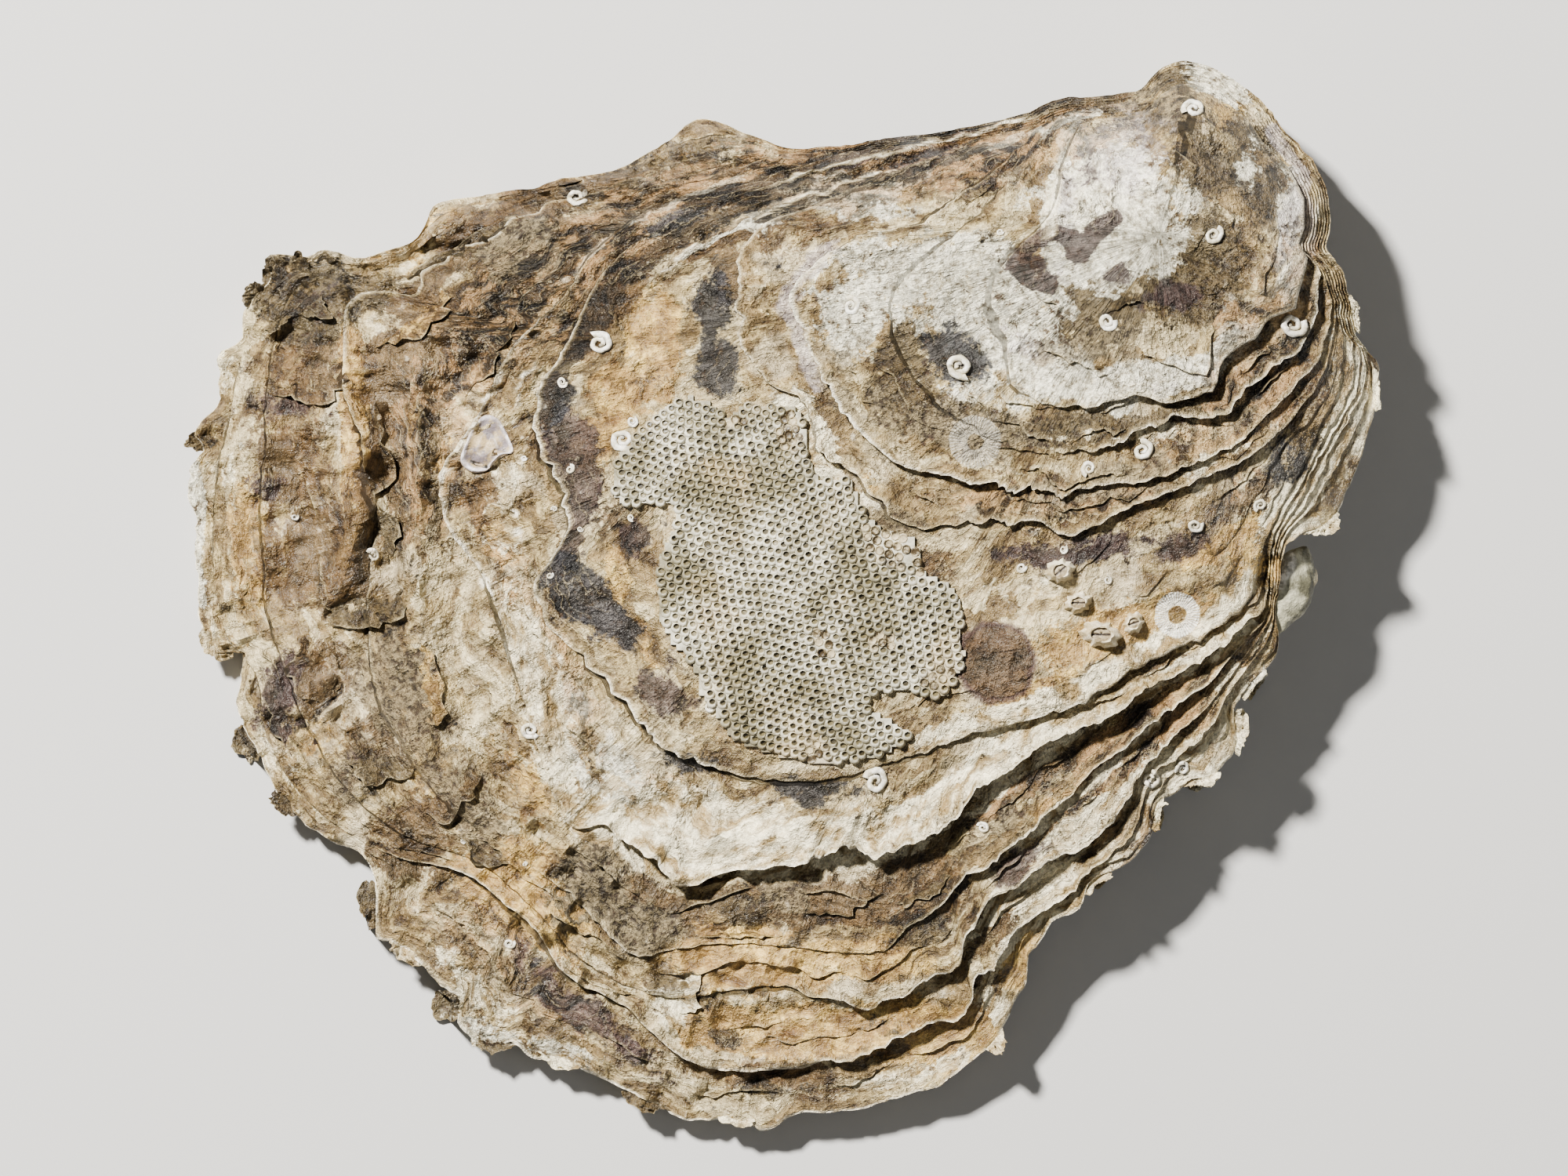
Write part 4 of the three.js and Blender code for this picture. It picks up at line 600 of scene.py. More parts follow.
# Where the stains lie, and where the surface is layered, smooth or gritty: x, y, half length, half width,
# turn in degrees, strength, and the last growth that it reaches where it ends at a lip
AT_INNER_LINE = BAND_GROWTH * 5
STAINS = {
    "layered": [
        (10, 37.5, 20, 3.5, 9, 1), (-13, 32, 12, 3.5, 28, 1), (-24, 24, 9, 4.5, 52, 1),
        (-31, 12, 3.5, 9, 0, 0.8), (42, 20, 4.5, 12, -22, 0.8), (38, 13, 9, 2.4, 30, 0.9),
        (24, 8, 12, 2.4, 2, 0.7), (32, -13, 12, 4, 38, 0.8), (18, -18, 7, 2.5, 30, 0.7),
        (-21.5, -6, 3, 12, 22, 0.8), (-8, -19, 10, 2.6, -14, 0.5), (30, -22, 8, 4, 42, 0.7),
        (-23, -35, 12, 4, -38, 0.6)],
    "smooth": [
        (-7, -22, 11, 3.4, -8, 1.2), (12, -19, 8, 1.8, 32, 1), (-3, -33, 9, 3, 0, 1),
        (3, -39.4, 10, 2.6, 2, 1), (16, -40, 6, 3, 20, 1), (-7, -21, 9, 2.6, -10, 1),
        (5, -22, 6, 1.8, 8, 0.9), (-44, 4, 5, 10, 0, 1), (-38, 14, 2.6, 8, 0, 0.9), (27, 33, 6, 7, 0, 1),
        (-34, 30, 7, 2.4, 25, 1), (-12, 21.5, 3, 6, 0, 0.9), (42, 3.6, 4, 4, -30, 0.8),
        (31, -3.6, 9, 2.6, 15, 0.9), (22, 19.5, 8, 2, -22, 0.8), (-24, -28, 8, 3, -38, 0.8),
        (-10, 38.5, 9, 1.8, 12, 0.8), (23, -33, 3, 4, 45, 0.8), (-9, 33.6, 8, 1, 24, 0.4),
        (-41, -6, 6, 6, 0, 0.9), (-31, 17, 5, 8, 0, 0.8), (-36, 25, 6, 4, 0, 0.7), (24, 0, 12, 5, 10, 0.7),
        (-9, 8, 4, 12, 0, 0.8)],
    "gritty": [
        (0, -27.6, 3, 2, 0, 0.8), (-17, -26, 3, 6, -20, 0.9), (-13, -30.5, 3.4, 3, 0, 0.9),
        (16, 13.4, 8, 2, -10, 0.9), (-23.5, 30, 3.4, 3, 0, 0.9), (9.5, 6, 3.6, 1.8, -20, 1),
        (-34, -9, 3.6, 8, 20, 0.8), (30, 9.6, 9, 1.6, 12, 0.8), (6, 17, 3, 7, 25, 0.6),
        (27, 21, 5, 2.6, 10, 0.6), (-42, 25.6, 4, 3, 10, 0.3), (33.6, 43, 5, 2, -10, 0.6),
        (-28, -19, 3, 6, 35, 0.7), (19, -22, 5, 2, 35, 0.6), (-38, -17, 4, 4, 30, 0.6)],
    "gold": [
        (-12, 21.5, 2.6, 5.5, 0, 1), (-14.7, 16.5, 2.6, 3, 0, 1), (-17, 13, 2, 3, 0, 0.8),
        (-38, 14, 1.2, 8, 0, 1), (-36, -4, 3, 4, 0, 0.5), (-47.5, 3, 3, 7, 0, 0.6),
        (-24, -28, 7, 2.6, -38, 1), (-22, -24.5, 5, 2, -30, 0.8), (-3, -33, 9, 2.6, 0, 1),
        (8, -33.5, 6, 1.8, 5, 0.9), (3, -39.4, 8, 2.4, 2, 1), (15, -40, 6, 3, 20, 1),
        (22, -33.5, 3, 3.4, 45, 0.8), (42, 3.6, 3, 4, -30, 1), (31, -3.6, 9, 2.6, 15, 0.9),
        (22, -9.5, 6, 1.4, 20, 0.8), (39.2, 42, 2.2, 1.7, 0, 0.7), (28, 13, 9, 1.3, 3, 0.6),
        (-34, 29, 5, 2.4, 25, 0.4), (-29, 32, 5, 2, 15, 0.3), (-9, 38.5, 7, 2, 12, 0.3),
        (-25.6, 5, 1.6, 5, 10, 0.7), (-23, -17, 2.4, 5, 25, 0.6), (24, -19, 6, 1.2, 35, 0.6),
        (30, -17, 5, 1, 38, 0.7), (-8, 12, 2, 3, 30, 0.5), (-12.5, -4.2, 1, 3, 20, 0.8),
        (-14.7, 0.8, 1.2, 3.6, 10, 0.9), (-31, -16.5, 3, 5, 30, 0.6), (-40, -14, 4, 4, 20, 0.5),
        (8, 8.2, 3, 1.6, -30, 0.5)],
    "umber": [
        (35.6, 28, 5.6, 4.6, -20, 1.1), (38, 37.2, 5, 2.6, -10, 1), (42.5, 34.5, 2.4, 5, -10, 0.8),
        (33.6, 41.4, 4, 1.6, -10, 1), (34.6, 45.2, 2.4, 1.1, 30, 0.9), (30, 42, 4, 1.2, -30, 0.8),
        (26.8, 24.3, 5, 3.6, 15, 0.9), (22, 40.6, 3, 2.4, 20, 0.8), (17.6, 35.4, 2.4, 1.4, 30, 0.6),
        (10.5, 20, 2.6, 5, 10, 0.9), (14, 14.6, 6, 2.2, -8, 1), (26, 13.8, 9, 1.8, 2, 1),
        (36, 16, 6, 1.4, 30, 0.9), (26, 3.4, 9, 3, 6, 0.5), (-42, 25.4, 4.4, 3.6, 10, 1.2),
        (31, 30, 4, 2, 40, 0.5), (-3, -28.6, 3, 1.6, 0, 0.9), (-10, -35, 3, 1.6, -30, 0.7),
        (2, -31, 3, 1, 10, 0.5), (12, -30.6, 3, 1.4, 20, 0.8), (10, -38.6, 3, 1.2, 20, 0.6),
        (41, 40, 3, 2, -50, 0.8), (8.6, 16.6, 3, 2, -40, 0.8), (43.6, 19, 3, 5, -35, 0.7),
        (-23.5, 30, 4, 3.4, 0, 0.9), (-13, -30.5, 4, 3, 0, 0.8), (-17.5, -26, 3, 6, -20, 0.8),
        (24, 29, 3, 2, 0, 0.5), (46.8, 12.6, 1.6, 3.4, -25, 0.8), (-9, 38.4, 7, 1.6, 12, 0.7),
        (43.6, 5, 1.6, 3, -20, 0.9), (-37, 26.4, 5, 2, 10, 0.6)],
    "cream": [
        (-6, -21.5, 10, 3.2, -8, 1.3), (6, -22, 8, 2.2, 6, 1.3), (15, -18.5, 5, 1.6, 30, 1.2),
        (22, -14, 5, 1.2, 25, 1.1), (28, -19.8, 5.6, 1.3, 40, 1), (35.6, -15.8, 4.4, 2.4, 25, 1.3),
        (39.8, -11.6, 2, 4, 0, 1.3), (24, -25, 5, 1.2, 45, 1), (-50, 7, 1.6, 9, 0, 0.3),
        (-50.4, -4.8, 1.4, 4, 0, 0.4), (-45, -16, 2, 6, 25, 0.5), (-50.4, 20, 1.4, 4, 15, 0.5),
        (45.4, 7.6, 2.4, 5, -28, 0.9), (49, 13, 1.8, 6, -14, 0.9), (-22, -8, 2, 8, 20, 0.9),
        (2, 13.8, 2, 5, 30, 0.9), (6, 8, 4, 1.6, -38, 0.7), (-24.5, 9, 1.6, 6, -5, 0.6),
        (27.6, 13.4, 8, 0.9, 3, 0.6), (-27, -36, 6, 1.6, -40, 0.7), (20, 0, 4, 2, 0, 0.4),
        (-10, -37.4, 1.8, 1.8, 20, 1), (-20.6, -14.6, 1.8, 5, 25, 0.9), (38, 11.4, 6, 0.8, 28, 0.7),
        (20, -38.6, 1.6, 5, 40, 0.9), (27, -26, 5, 1.4, 45, 1), (11, -43.4, 7, 1, 16, 0.7)],
    "lilac": [
        (30.5, 38.5, 4.6, 5, 0, 0.8), (44.4, 32, 1, 6, -5, 0.9), (20, 21.5, 5, 1.4, -22, 0.6),
        (36, 18.4, 6, 1, 22, 0.6), (24.6, 33, 1.4, 6, 0, 0.6)],
    "brown": [
        (-12.4, 20.8, 2.4, 4.8, 0, 0.32), (-25, 31.8, 6, 2.2, 20, 1.2), (-33.6, 18.6, 4, 4.4, 0, 1.2),
        (9, 38.6, 15, 1.6, 8, 1), (18, 37.4, 6, 1.2, 20, 0.9), (2, 31.5, 6, 1.8, 20, 0.6),
        (-6, 35, 7, 1.6, 22, 1), (-15.5, 26.5, 3, 8, -35, 1), (-20.5, 30.5, 3, 4, -40, 0.9),
        (-25, 26, 3.6, 8, -40, 1), (-31, 21.5, 4, 6, -25, 0.95), (-33.4, 12, 2, 9, 0, 1),
        (-20, 35, 7, 1.6, 10, 0.9), (-12, 37, 6, 1.4, 10, 0.7), (-43, 20, 4, 3, 20, 0.8),
        (-41, 3, 6, 5, 20, 1), (-43.5, 11, 4, 5, 0, 0.85), (-34, -8, 3, 6, 20, 0.8),
        (-42, -8, 4, 3, 30, 0.9), (-36, -14, 5, 4, 30, 0.7), (-33, -22, 4, 4, 40, 0.85),
        (-29, -19, 3, 5, 35, 0.6), (-26.8, 8, 1.8, 3, 15, 1), (-13, -27.5, 9, 1.8, -22, 1),
        (5, -28, 12, 2.4, 0, 1), (12, -26, 4, 3, 30, 0.9), (21, -17.6, 6, 1.4, 35, 0.9),
        (31, -11.4, 5, 1, 30, 0.9), (27, 8, 9, 1, 6, 0.6), (40.5, 7.3, 5, 2, 30, 0.7),
        (24, 4.4, 9, 1.2, 0, 0.5), (12, 2, 3, 2, 0, 0.8), (-4.5, 27.6, 2, 3, 0, 0.6),
        (46, 18, 3, 5, -20, 0.7), (49, 11.6, 1.4, 3, -20, 0.6), (18, -30, 3, 2.4, 40, 0.8),
        (25, -21, 6, 1.6, 42, 0.9), (33, -13.6, 5, 1.6, 38, 0.8), (26, -14.6, 5, 1.2, 35, 0.8),
        (-1, -43.5, 6, 1.2, 0, 0.9), (-14, -40, 5, 1.6, -30, 0.6), (-22, 12, 1.4, 3, 0, 0.6),
        (-15.5, 6.6, 2.4, 3, 0, 0.5), (-19, -3, 4, 1.2, -30, 0.5)],
    "chalk": [
        (18.4, 17.4, 7, 1.6, -14, 0.5), (28.6, 33.4, 6, 6.4, 20, 1.2), (24.4, 33, 1.6, 6.5, -5, 1.3),
        (17, 25.6, 8, 4.6, -25, 1), (10, 27.5, 5, 3, -20, 1), (6, 24.2, 3.4, 4, 0, 0.9),
        (22.5, 19.5, 8, 2, -22, 1.2), (31, 18.2, 7, 1.6, 8, 1.2), (38.5, 20.6, 4, 1.4, 38, 1),
        (34, 18, 3.2, 1.1, 15, 1.4), (44.6, 31, 1.4, 7, 0, 0.9), (38.4, 44.6, 2.8, 1.5, -25, 1.1),
        (41, 37.4, 1.6, 3, -30, 0.6), (5, 34.6, 6, 1.7, -12, 1), (-1.5, 33, 3, 1.4, 30, 0.6),
        (15, 30.3, 2.4, 1.4, 0, 0.8), (-10, -20.4, 4, 1, -25, 1), (-7.6, -21.8, 6, 1.2, -8, 1.2),
        (-14.5, -15.8, 2.6, 1.2, -45, 1.2), (-19, -9.8, 2.4, 1.1, -52, 0.9), (18, -15.2, 5, 0.9, 25, 0.9),
        (-52.4, 5, 0.9, 7, 0, 0.9), (38.5, -15.4, 2.4, 1, 35, 1), (40.6, -11, 0.9, 3, 0, 1),
        (-20, -41, 7, 1, -12, 0.7), (-27.6, -39.6, 2, 1.6, 0, 0.7), (1, 15, 2, 3.6, 20, 0.9),
        (3.6, 8.6, 2, 2, 0, 0.5), (10, 6.8, 3, 0.8, -30, 0.5), (37, 11.4, 5, 0.8, 25, 0.5),
        (48.8, 22, 1, 5, -10, 0.5)],
    "blue": [
        (-18.6, -0.2, 4, 2.6, -40, 1.2, AT_INNER_LINE), (-15, -3, 3.4, 1.9, -35, 1.1),
        (-20.6, 17, 2.2, 2.4, 20, 1.2, AT_INNER_LINE), (-6.3, 24.8, 1.6, 3, 0, 0.9),
        (-5.6, 19.8, 1.9, 3, 0, 1), (15, 20.6, 2.9, 2.2, -20, 1.3), (-9.8, 32.4, 3, 0.9, 22, 1),
        (44.4, 11.4, 2.4, 2.4, 0, 0.8), (-8.2, -15.6, 3.4, 1.1, -15, 0.8), (1.9, -18.1, 2.7, 1.4, -5, 1),
        (-1, 28.6, 2, 1, 30, 0.4), (13, 25.6, 1, 1, 0, 0.4), (6.9, -17.4, 2, 0.7, 10, 0.5)],
    "violet": [
        (-18.6, 11, 2.2, 5.4, 8, 1.2, AT_INNER_LINE), (-19, 5.6, 1.6, 3.6, -6, 1.1, AT_INNER_LINE),
        (-13, 4.3, 1.3, 2.6, 20, 1), (-10.6, -9.6, 3, 1.5, -20, 1.1), (-10, -5, 1, 2, 0, 0.5),
        (12.7, 37.9, 3.4, 1, 12, 0.8), (21.6, 28.2, 1.8, 1.2, 20, 0.85), (29.4, 27.6, 1.2, 1, 0, 1),
        (34.4, 25.6, 3, 1.4, 0, 0.9), (26, 3.4, 7.6, 1.5, 6, 0.9), (35.5, 4, 4.6, 1.3, 18, 0.85),
        (-44.6, 16.4, 3.4, 1.7, -6, 0.9), (-45.8, 9.2, 1.7, 1.7, 0, 0.7), (-44.6, -9, 2, 4.4, -18, 0.9),
        (-39, -15, 2, 1.6, 0, 0.4), (-18, -37.5, 9, 1.8, -38, 0.9), (20.5, -24.6, 3.2, 1.7, 35, 0.8),
        (28, -17.4, 4, 0.8, 40, 0.5), (27, 36.5, 3, 2, -30, 0.4), (-41.2, 25.4, 2, 2, 0, 0.5),
        (-30.4, 27.6, 1.6, 1, 20, 0.5)],
    "dark": [
        (-43, 25, 2.4, 1.6, 50, 0.5), (-44.6, 28, 1.7, 1.7, 0, 0.7), (-17, -0.6, 2, 1.2, -30, 0.5),
        (-21.6, 15.4, 1.4, 1, 0, 0.6), (-16, 24, 1.2, 4, -35, 0.8), (-11, 29.6, 1.2, 4, -50, 0.7),
        (14, -27, 2.6, 1.2, 30, 0.7), (-31.8, 13.6, 0.7, 2, 0, 1), (-35.8, 9.2, 2, 1, 50, 0.45),
        (42.4, 30, 1.4, 3, -20, 0.4), (35, 38, 2, 1, -10, 0.5), (-2, -44.5, 2, 0.8, 0, 1),
        (-5, -39.8, 1.6, 0.8, 0, 1), (10.6, -29.6, 1.8, 0.8, 20, 0.8), (23.6, 6.4, 5, 0.7, 2, 0.6),
        (-12.6, 38.6, 2, 1, 20, 0.6), (-18.6, 35.4, 1, 1, 0, 0.8)],
}
# Long thin stains, and under "dark" also lines of painted shade beside the ridges: points, half width,
# strength
STREAKS = {
    "violet": [
        ([(20.4, 28.6), (22.2, 30.4), (23.8, 31.2), (25.1, 30.6), (26, 29.7), (27.5, 31.4),
        (29, 32.6)], 0.75, 1.5), ([(20.4, 28.6), (21, 27.4), (23.4, 26.4)], 0.7, 1.2),
        ([(18, 41), (12, 39.6), (4, 37.6)], 0.7, 1.1)],
    "dark": [
        ([(26, 43.2), (14, 40.6), (2, 37.2), (-8, 33.9)], 0.6, 1.5),
        ([(18, 38.6), (8, 36), (-2, 32.6)], 0.45, 1.4), ([(-14, 28.4), (-18, 22.6), (-20.6, 17)], 0.8, 1.3),
        ([(-22, 29), (-27, 23), (-30, 17)], 0.4, 1.3), ([(2, 35.8), (-8, 32), (-14.6, 27)], 0.6, 1.1),
        ([(-10, 35), (-17, 31), (-23, 24.4), (-26.6, 19)], 0.5, 1),
        ([(47.6, 27), (46, 22), (41, 16.6)], 0.5, 0.9)],
    "brown": [
        ([(30, 43.6), (20, 41.4), (8, 38.6), (-4, 35)], 1, 1.3),
        ([(16, 38.4), (4, 34.8), (-8, 29.6)], 0.9, 1.1),
        ([(-2, 37), (-14, 33), (-24, 26), (-31, 17)], 1.4, 1.2),
        ([(-14, 36), (-26, 31.6), (-34, 25)], 1.2, 1)],
    "cream": [
        ([(18.4, -29), (21.6, -25.2), (26, -21)], 1.1, 1.2), ([(-17.5, -20), (-10, -23.6), (-4, -23),
        (4, -22), (10, -21.4), (15, -18.6), (22, -13.6)], 1.8, 1.5),
        ([(12, -13.4), (18, -11.6), (24.6, -9.7), (30.9, -6.2), (36.9, -3.6), (41, 0.2)], 0.9, 1.2),
        ([(22, -15), (28, -11), (34, -7.6), (41, -3)], 0.8, 1.1),
        ([(19, -24.6), (25, -19), (33, -12)], 0.5, 1), ([(16, -31.6), (20, -27.6), (27, -22.6)], 0.5, 1),
        ([(51, 12), (51.6, 17), (50, 23)], 1, 1.1),
        ([(17, -36), (20.4, -31), (25.6, -27), (31, -22)], 0.5, 1)],
    "chalk": [
        ([(-24, -5), (-20.4, -13), (-16, -18.6), (-9, -20.4)], 0.8, 1.1),
        ([(28, 42.2), (18, 38.8), (8, 35.4)], 0.35, 1), ([(10, 37), (0, 33.6), (-9, 29.4)], 0.3, 1),
        ([(-4, 36.4), (-15, 32), (-22, 24)], 0.3, 0.9)],
    "lilac": [
        ([(4, 30.2), (0.9, 27), (0, 24.6), (1.6, 21), (3, 17.6)], 0.7, 1.2),
        ([(43, 40.6), (45.6, 36.6), (46.2, 31), (45, 27.6)], 0.8, 1.2)],
    "gold": [
        ([(-38.4, 22), (-37.8, 14), (-38.4, 6), (-39.6, 0)], 1.1, 1.3),
        ([(-6, -33.6), (2, -33.6), (9, -32.4)], 1.6, 1.3), ([(-8, -39), (2, -39.6), (12, -38.2)], 1.5, 1.3),
        ([(36, 2.6), (42, 5.6), (47, 9)], 1.2, 1.1)],
}
fields = {}
for stain, places in STAINS.items():
    field = np.zeros(plan.shape[:-1])
    for points, half, strength in STREAKS.get(stain, []):
        field = np.maximum(field, strength * np.clip(1.5 - line_distance(shaken, points)[0] / half, 0, 1))
    for x, y, half_long, half_wide, turn, strength, *until in places:
        away = from_patch(shaken[..., 0] - x, shaken[..., 1] - y, half_long, half_wide, turn)
        reached = growth <= until[0] if until else 1
        field = np.maximum(field, strength * np.clip(1.5 - away, 0, 1) * reached)
    fields[stain] = np.where(outer, field, 0)

# What the finish reads at each corner: single values, and stains three to a vector
SURFACE_VALUES = ("growth", "round", "lip", "painted_shade", "under")
STAIN_VECTORS = {"warm": ("gold", "brown", "chalk"), "cold": ("blue", "violet", "dark"),
                 "form": ("layered", "smooth", "gritty"), "pale": ("cream", "umber", "lilac")}


def surface_layers(mesh):
    """The layers for these values on a mesh."""
    kinds = mesh.verts.layers
    values = {name: kinds.float.new(name) for name in SURFACE_VALUES}
    return values, {kinds.float_vector.new(name): stains for name, stains in STAIN_VECTORS.items()}


valve_mesh = bmesh.new()
layers, stain_layers = surface_layers(valve_mesh)
round_mm = np.arange(COLUMNS + 1) * MARGIN_ROUND / COLUMNS


def lay_zone(first, last, step):
    """A closed band of the surface between two rows, with every so many columns."""
    columns = list(range(0, COLUMNS, step)) + [0]
    wide = len(columns)
    start = len(valve_mesh.verts)
    bmesh.ops.create_grid(valve_mesh, x_segments=wide - 1, y_segments=last - first, size=1)
    valve_mesh.verts.ensure_lookup_table()
    for j in range(last - first + 1):
        row = first + j
        for i, column in enumerate(columns):
            vert = valve_mesh.verts[start + j * wide + i]
            at_here = row, column
            x, y = (plan[at_here] + PLAN_TO_ORIGIN) * MM
            vert.co = (x, y, heights[at_here] * MM)
            vert[layers["growth"]] = growth[at_here]
            vert[layers["round"]] = round_mm[column] if i < wide - 1 else round_mm[-1]
            vert[layers["lip"]] = lip[at_here]
            vert[layers["painted_shade"]] = painted_shade[at_here]
            vert[layers["under"]] = under[at_here]
            for layer, stains in stain_layers.items():
                vert[layer] = [fields[stain][at_here] for stain in stains]
    return range(start, start + wide), range(len(valve_mesh.verts) - wide, len(valve_mesh.verts))


def refine(edge, finer):
    """Gives a coarse edge one more corner between each two, and puts its corners on those of a finer edge."""
    chosen = set(edge)
    edges = [e for e in valve_mesh.edges if e.verts[0].index in chosen and e.verts[1].index in chosen]
    start = len(valve_mesh.verts)
    bmesh.ops.subdivide_edges(valve_mesh, edges=edges, cuts=1)
    valve_mesh.verts.ensure_lookup_table()
    valve_mesh.verts.index_update()
    for vert in valve_mesh.verts[start:]:
        beside = [e.other_vert(vert).index for e in vert.link_edges if e.other_vert(vert).index in chosen]
        vert.co = valve_mesh.verts[finer[2 * (min(beside) - edge[0]) + 1]].co
    for i in edge:
        valve_mesh.verts[i].co = valve_mesh.verts[finer[2 * (i - edge[0])]].co


under_split = top_rows + 2
dome_edge, middle_edge = zone_rows
_, dome_out = lay_zone(0, dome_edge, 4)
middle_in, middle_out = lay_zone(dome_edge, middle_edge, 2)
outer_in, outer_out = lay_zone(middle_edge, under_split, 1)
under_in, _ = lay_zone(under_split, len(rows) - 1, 2)
valve_mesh.verts.index_update()
refine(dome_out, middle_in)
refine(middle_out, outer_in)
refine(under_in, outer_out)
bmesh.ops.remove_doubles(valve_mesh, verts=valve_mesh.verts, dist=2e-7)
bmesh.ops.recalc_face_normals(valve_mesh, faces=valve_mesh.faces)
for face in valve_mesh.faces:
    face.smooth = True
    if sum(vert[layers["under"]] for vert in face.verts) / len(face.verts) > 0.5:
        face.material_index = 1
valve_tree = BVHTree.FromBMesh(valve_mesh)
valve = bpy.data.objects.new("oyster_valve", bpy.data.meshes.new("oyster_valve"))
valve_mesh.to_mesh(valve.data)
valve_mesh.free()
valve.data.set_sharp_from_angle(angle=math.radians(60))
bpy.context.collection.objects.link(valve)


def colour(code):
    """A colour written as #rrggbb, as Blender's linear values."""
    parts = [int(code[i:i + 2], 16) / 255 for i in (1, 3, 5)]
    return (*[v / 12.92 if v < 0.04045 else ((v + 0.055) / 1.055) ** 2.4 for v in parts], 1)


class Graph:
    """Adds nodes to a material or a node group. Each call returns what the next one needs."""

    def __init__(self, tree):
        self.tree = tree

    def node(self, kind, inputs, **settings):
        made = self.tree.nodes.new("ShaderNode" + kind)
        for name, value in settings.items():
            setattr(made, name, value)
        for socket, value in inputs.items():
            if isinstance(value, bpy.types.NodeSocket):
                self.tree.links.new(value, made.inputs[socket])
            else:
                made.inputs[socket].default_value = value
        return made

    def math(self, operation, *values):
        return self.node("Math", dict(enumerate(values)), operation=operation).outputs[0]

    def vector(self, operation, a, b):
        return self.node("VectorMath", {0: a, 1: b}, operation=operation).outputs[0]

    def apart(self, a, b):
        """How far two places lie from each other."""
        return self.node("VectorMath", {0: a, 1: b}, operation="DISTANCE").outputs["Value"]

    def times(self, a, b):
        return self.math("MULTIPLY", a, b)

    def plus(self, a, b):
        return self.math("ADD", a, b)

    def minus(self, a, b):
        return self.math("SUBTRACT", a, b)

    def over(self, a, b):
        return self.math("DIVIDE", a, b)

    def mix(self, factor, a, b, blend="MIX"):
        made = self.node("Mix", {0: factor, 6: a, 7: b}, data_type="RGBA", blend_type=blend)
        return made.outputs[2]

    def tint(self, tone, share, code):
        """Lays one colour over a tone."""
        return self.mix(share, tone, colour(code))

    def noise(self, vector, scale, detail=3, roughness=0.55, distortion=0):
        made = self.node("TexNoise", {"Vector": vector, "Scale": scale, "Detail": detail,
                                      "Roughness": roughness, "Distortion": distortion})
        return made.outputs["Fac"]

    def ramp(self, value, low, high, to_low=0, to_high=1):
        made = self.node("MapRange", {0: value, 1: low, 2: high, 3: to_low, 4: to_high},
                         interpolation_type="SMOOTHSTEP")
        return made.outputs[0]

    def attribute(self, name, output="Fac"):
        return self.node("Attribute", {}, attribute_name=name).outputs[output]

    def join(self, x, y, z):
        """Three values as one vector."""
        return self.node("CombineXYZ", {0: x, 1: y, 2: z}).outputs[0]

    def split(self, vector):
        return self.node("SeparateXYZ", {0: vector}).outputs

    def mm(self):
        """Where the point is on the object, in mm."""
        place = self.node("TexCoord", {}).outputs["Object"]
        return self.node("VectorMath", {0: place, 3: 1 / MM}, operation="SCALE").outputs[0]

    def shaded(self, tone, grain):
        """A tone darkened and lightened by the grain's shade."""
        shade = self.node("CombineColor", {i: grain["Shade"] for i in range(3)}).outputs[0]
        return self.mix(1, tone, shade, "MULTIPLY")

    def bump(self, height, shader):
        """Gives a shader a height in mm."""
        made = self.node("Bump", {"Height": height, "Distance": MM})
        self.tree.links.new(made.outputs[0], shader.inputs["Normal"])

    def end(self, shader, tone, grain, roughness, height):
        """Grain over the tone, a roughness and a height in mm: the end of each encruster's finish."""
        self.tree.links.new(self.shaded(tone, grain), shader.inputs["Base Color"])
        shader.inputs["Roughness"].default_value = roughness
        self.bump(height, shader)


def group(name, inputs, outputs):
    """An empty node group, its graph, and its input and output nodes."""
    tree = bpy.data.node_groups.new(name, "ShaderNodeTree")
    for label, kind in inputs:
        tree.interface.new_socket(label, in_out="INPUT", socket_type="NodeSocket" + kind)
    for label, kind in outputs:
        tree.interface.new_socket(label, in_out="OUTPUT", socket_type="NodeSocket" + kind)
    return tree, Graph(tree), tree.nodes.new("NodeGroupInput").outputs, tree.nodes.new("NodeGroupOutput")


# Grain: the fine speckle of all the lime, as a factor on its colour and as a height in mm
grain_tree, g, given, result = group("lime_grain", [("Place", "Vector"), ("Size", "Float")],
                                     [("Shade", "Float"), ("Height", "Float")])
coarse = g.noise(given["Place"], g.over(1, given["Size"]), 3, 0.7)
fine = g.noise(given["Place"], g.over(3.3, given["Size"]), 1, 0.6)
grain_tree.links.new(g.ramp(g.plus(g.times(coarse, 0.7), g.times(fine, 0.3)),
                            0.28, 0.72, 0.66, 1.25), result.inputs["Shade"])
grain_tree.links.new(g.times(g.plus(coarse, g.times(fine, 0.35)), 0.11), result.inputs["Height"])

# Torn leaves: the surface as thin growth leaves that end in ragged lips. Each leaf has a tone of its own.
# Light is a painted highlight at each lip and Shadow painted shade at the foot of each leaf.
leaf_tree, g, given, result = group(
    "torn_leaves",
    [("Place", "Vector"), ("Growth", "Float"), ("Pitch", "Float"), ("Tear", "Float"), ("Share", "Float")],
    [("Height", "Float"), ("Light", "Float"), ("Shadow", "Float"), ("Tone", "Float")])
aside = g.join(given["Pitch"], 7, given["Pitch"])
apart = g.vector("ADD", given["Place"], aside)
tear = g.times(g.minus(g.noise(apart, 0.3, 5, 0.62), 0.5), 2)
turns = g.over(g.plus(given["Growth"], g.times(tear, given["Tear"])), given["Pitch"])
tooth, leaf = g.math("FRACT", turns), g.math("FLOOR", turns)
parts = g.split(given["Place"])
own = g.noise(g.join(g.times(parts[0], 0.11), g.times(parts[1], 0.11), g.times(leaf, 3.7)), 1, 2, 0.5)
patchy = g.noise(apart, 0.2, 2, 0.6)
shown = g.ramp(patchy, g.minus(0.62, given["Share"]), g.minus(0.72, given["Share"]))
leaf_tree.links.new(g.times(g.math("POWER", tooth, 2.2), shown), result.inputs["Height"])
